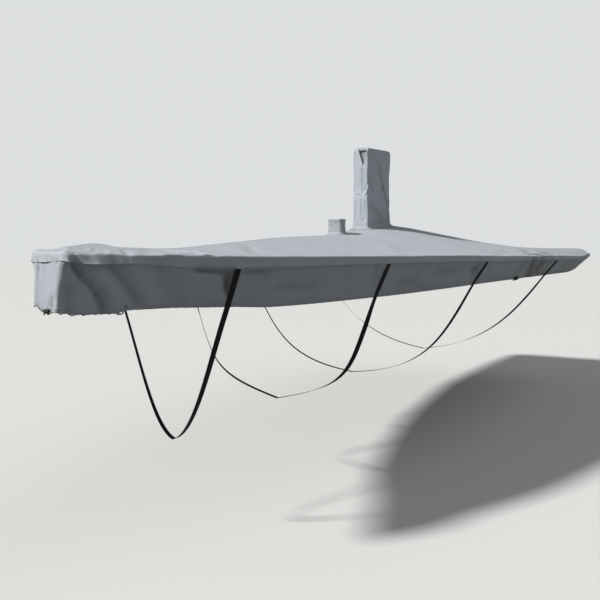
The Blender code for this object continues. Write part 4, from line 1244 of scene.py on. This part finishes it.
def bowDrawcord():
    form, lines = drawcord, {}
    for side in sideSigns:
        column = columnsFor(side, np.linspace(0.0, float(reachAt(form["end"])), form["steps"]))
        shown = sum(row["shown"] * np.exp(-((column["reach"] - row["reach"]) / row["width"]) ** 2)
                    for row in asRows(form) if row["group"] == side)
        hidden = 1.0 - np.clip(shown / form["fullyShown"], 0.0, 1.0)
        lines[side] = sidePoints(column, looseHem(column) - form["seat"] + shown,
                                 -cloth["thickness"] - form["sunk"] * hidden)[:, 0]
    path = np.concatenate([lines["starboard"][:0:-1], lines["port"]])
    return tubeAlong("bowDrawcord", path, form["radius"], sides=8)


def drawcordKnot():
    form, middle = drawcord, drawcord["knotReach"]
    hem = float(looseHem(oneColumn("port", middle))[0, 0])
    points = knotPath("port", middle, hem - form["knotOver"], form["knotTurns"],
                      form["knotLength"], form["knotRadius"], form["knotLift"])
    parts = [tubeAlong("drawcordKnot", points, form["knotCord"])]
    for number, (end, fall) in enumerate(form["tails"], start=1):
        path = [onSide("port", middle + (end - middle) * share,
                       hem + fall * share ** form["tailCurve"],
                       form["tailLift"] * (1.0 + math.sin(math.pi * share)))
                for share in np.linspace(0.0, 1.0, form["tailSteps"])]
        parts.append(tubeAlong(f"drawcordTail{number}", path, form["radius"], sides=8))
    return parts


knots = drawcordKnot()
for side in sideSigns:
    for number, row in enumerate(asRows(loopForm), start=1):
        pieces[f"hem_loop_{side}_{number}"] = hemCord(side, number, row)
    knots.append(hemKnot(side, 2, asRows(loopForm)[1]))
pieces["bow_cord"] = bowDrawcord()
print("hem cords made")


# stitching, by Geometry Nodes along the seams

stitchForm = {"Pitch": 0.0068, "Length": 0.0048, "Thickness": 0.0011, "Spread": 0.12, "Seed": 11,
              "Material": threadFinish}
tackForm = {"Pitch": 0.0030, "Length": 0.0034, "Thickness": 0.0016, "Spread": 0.10, "Seed": 5,
            "Material": tackFinish}
seamForm = {                    # where the rows lie, in from the cloth's edge
    "facing": (0.006, 0.016), "hem": 0.019, "centre": 0.0055, "collarTop": 0.016,
    "tackBack": (0.0015, 0.0045, 0.0115), "tackHalf": 0.017, "tackPoints": 7, "lift": 0.0002,
    "centreFrom": 0.30, "centreTo": 7.05, "centreStep": 0.03, "flangeIn": 0.004,
    "collarLift": 0.0004,
    "centreGaps": ((2.57, 2.76), (3.04, 3.585)),
}


def buildStitchTree():
    tree, given, result = newGroup("stitchRow", "GeometryNodeTree", {
        "Geometry": "Geometry", "Pitch": "Float", "Length": "Float", "Thickness": "Float",
        "Spread": "Float", "Seed": "Int", "Material": "Material"}, {"Geometry": "Geometry"})
    line = addNode(tree, "GeometryNodeMeshToCurve", {"Mesh": given["Geometry"]})
    points = addNode(tree, "GeometryNodeCurveToPoints", {
        "Curve": line.outputs["Curve"], "Length": given["Pitch"]}, mode="LENGTH").outputs
    align = addNode(tree, "FunctionNodeAlignRotationToVector", {"Vector": points["Tangent"]},
                    axis="X")
    stitch = addNode(tree, "GeometryNodeMeshUVSphere", {"Segments": 5, "Rings": 3, "Radius": 0.5})
    size = addNode(tree, "ShaderNodeCombineXYZ", {
        "X": given["Length"], "Y": given["Thickness"], "Z": given["Thickness"]})
    vary = addNode(tree, "FunctionNodeRandomValue", {
        "Min": maths(tree, "SUBTRACT", 1.0, given["Spread"]),
        "Max": maths(tree, "ADD", 1.0, given["Spread"]), "Seed": given["Seed"]},
        data_type="FLOAT")
    scaled = addNode(tree, "ShaderNodeVectorMath", {
        0: size.outputs[0], "Scale": vary.outputs["Value"]}, operation="SCALE")
    made = addNode(tree, "GeometryNodeInstanceOnPoints", {
        "Points": points["Points"], "Instance": stitch.outputs["Mesh"],
        "Rotation": align.outputs["Rotation"], "Scale": scaled.outputs[0]})
    made = addNode(tree, "GeometryNodeRealizeInstances", {"Geometry": made.outputs["Instances"]})
    made = addNode(tree, "GeometryNodeSetShadeSmooth", {"Geometry": made.outputs["Geometry"]})
    made = addNode(tree, "GeometryNodeSetMaterial", {
        "Geometry": made.outputs["Geometry"], "Material": given["Material"]})
    tree.links.new(made.outputs["Geometry"], result["Geometry"])
    return tree


stitchTree = buildStitchTree()


def stitchRows(name, lines, form=stitchForm):
    made = bmesh.new()
    for line in lines:
        vertices = [made.verts.new(point) for point in line]
        for pair in zip(vertices, vertices[1:]):
            made.edges.new(pair)
    rows = linkObject(name, toMesh(name, made))
    modifier = rows.modifiers.new("stitches", "NODES")
    modifier.node_group = stitchTree
    for item in stitchTree.interface.items_tree:
        if item.in_out == "INPUT" and item.name in form:
            modifier[item.identifier] = form[item.name]
    return bakeModifiers(rows)


def facingLine(side, back):
    column = columnsFor(side, allReaches[1:-1])
    roll, depth = column["roll"], column["eave"] + topForm["lap"] - back
    lift = facingLift(column, depth) + seamForm["lift"]
    below = sidePoints(column, depth, lift)[:, 0]
    onRoll = rollPoints(column, math.pi / 2 - (roll - depth) / roll)[:, 0]
    return np.where((depth > roll)[:, :1], below, onRoll)


def hemLine(side, up):
    column = columnsFor(side, allReaches)
    return sidePoints(column, hemDepth(column) - up, skirtForm["hemRise"] + seamForm["lift"])[:, 0]


def centreLines(side, away):
    form = seamForm
    stations = np.arange(form["centreFrom"], form["centreTo"], form["centreStep"])
    for low, high in form["centreGaps"]:
        stations = stations[(stations <= low) | (stations >= high)]
    breaks = np.where(np.diff(stations) > 1.5 * form["centreStep"])[0] + 1
    height = topHeight(stations, np.full(len(stations), away)) + centreSeam["rise"] + form["lift"]
    return np.split(toWorld(side, stations, away, height), breaks)


def tackLines(side, row):
    form = seamForm
    spread = np.linspace(-form["tackHalf"], form["tackHalf"], form["tackPoints"])
    column = columnsFor(side, reachAt(row["station"] + row["headShift"] + spread))
    lines = []
    for back in form["tackBack"]:
        depth = column["eave"] + topForm["lap"] - back
        lines.append(sidePoints(column, depth, facingLift(column, depth) + form["lift"])[:, 0])
    return lines


def sleeveLine(shape, up=None):
    spread = shape["flare"] + seamForm["flangeIn"] if up is None else 0.0
    plan, normals = (np.concatenate([part, part[:1]]) for part in roundedPlan(shape, spread))
    if up is None:
        height = topHeight(plan[:, 0], plan[:, 1]) + sleeveCloth["lift"] + seamForm["lift"]
    else:
        height = np.full(len(plan), shape["top"] - up)
        plan = plan + normals * (seamForm["collarLift"] + seamForm["lift"])
    return np.column_stack([plan[:, 0] - originStation, plan[:, 1], height])


stitches = {
    "facingStitches": stitchRows("facingStitches", [
        facingLine(side, back) for side in sideSigns for back in seamForm["facing"]]),
    "hemStitches": stitchRows("hemStitches", [
        hemLine(side, seamForm["hem"]) for side in sideSigns]),
    "centreStitches": stitchRows("centreStitches", [
        line for side in sideSigns for line in centreLines(side, seamForm["centre"])]),
    "tackStitches": stitchRows("tackStitches", [
        line for side in sideSigns for row in asRows(strapForm)
        for line in tackLines(side, row)], tackForm),
    "sleeveStitches": stitchRows("sleeveStitches", [
        sleeveLine(collarForm), sleeveLine(sockForm),
        sleeveLine(collarForm, seamForm["collarTop"])]),
}
print("stitches made")


# what each piece stands for

for knot in knots:
    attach(knot, "root")
for node, piece in pieces.items():
    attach(piece, "root")
    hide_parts(node)
for piece in stitches.values():
    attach(piece, "root")


# camera, floor and light

cameraForm = {"place": (-5.775, -2.439, 0.0), "turn": 30.0, "tilt": math.atan(45 / 700),
              "lens": 42.0, "sensor": 36.0, "reach": 400.0}
lampForms = {                   # the way the light travels, its strength, angle and colour
    "studioKey": ((0.66, -0.43, -0.615), 4.25, 6.0, (1.0, 0.985, 0.965)),
    "studioFill": ((-0.30, 0.55, -0.78), 0.42, 50.0, (0.93, 0.97, 1.0)),
}
studioForm = {"ambient": (0.97, 0.98, 0.98, 1.0), "strength": 0.172,
              "backdrop": (0.72, 0.735, 0.745, 1.0)}
floorForm = {"height": -1.55, "half": 200.0, "colour": (0.70, 0.70, 0.69, 1.0), "roughness": 0.9}

cameraData = bpy.data.cameras.new("photoCamera")
cameraData.lens = cameraForm["lens"]
cameraData.sensor_width = cameraForm["sensor"]
cameraData.clip_end = cameraForm["reach"]
camera = linkObject("photoCamera", cameraData)
bpy.context.scene.camera = camera
turn, tilt = math.radians(cameraForm["turn"]), cameraForm["tilt"]
looking = Vector((math.cos(turn) * math.cos(tilt), math.sin(turn) * math.cos(tilt),
                  -math.sin(tilt)))
camera.location = cameraForm["place"]
camera.rotation_euler = looking.to_track_quat("-Z", "Y").to_euler()

for name, (travel, strength, angle, colour) in lampForms.items():
    lamp = bpy.data.lights.new(name, "SUN")
    lamp.energy = strength
    lamp.angle = math.radians(angle)
    lamp.color = colour
    linkObject(name, lamp).rotation_euler = Vector(travel).to_track_quat("-Z", "Y").to_euler()

world = bpy.data.worlds.new("studio")
bpy.context.scene.world = world
world.use_nodes = True
worldTree = world.node_tree
background = worldTree.nodes["Background"]
background.inputs["Color"].default_value = studioForm["ambient"]
background.inputs["Strength"].default_value = studioForm["strength"]
seen = addNode(worldTree, "ShaderNodeBackground", {"Color": studioForm["backdrop"]})
cameraRay = addNode(worldTree, "ShaderNodeLightPath", {})
either = addNode(worldTree, "ShaderNodeMixShader", {
    0: cameraRay.outputs["Is Camera Ray"], 1: background.outputs[0], 2: seen.outputs[0]})
worldTree.links.new(either.outputs[0], worldTree.nodes["World Output"].inputs["Surface"])

floorMesh = bpy.data.meshes.new("floor")
floorMesh.from_pydata([(x * floorForm["half"], y * floorForm["half"], floorForm["height"])
                       for x, y in ((-1, -1), (1, -1), (1, 1), (-1, 1))], [], [(0, 1, 2, 3)])
floorMesh.materials.append(newMaterial("floor", lambda tree: {
    "Base Color": floorForm["colour"], "Roughness": floorForm["roughness"]}))
floor = linkObject("floor", floorMesh)
floor.visible_diffuse = False   # the light comes from the lamps and the soft surround alone
bpy.context.scene.view_settings.view_transform = "Standard"
print("camera, light and floor made")
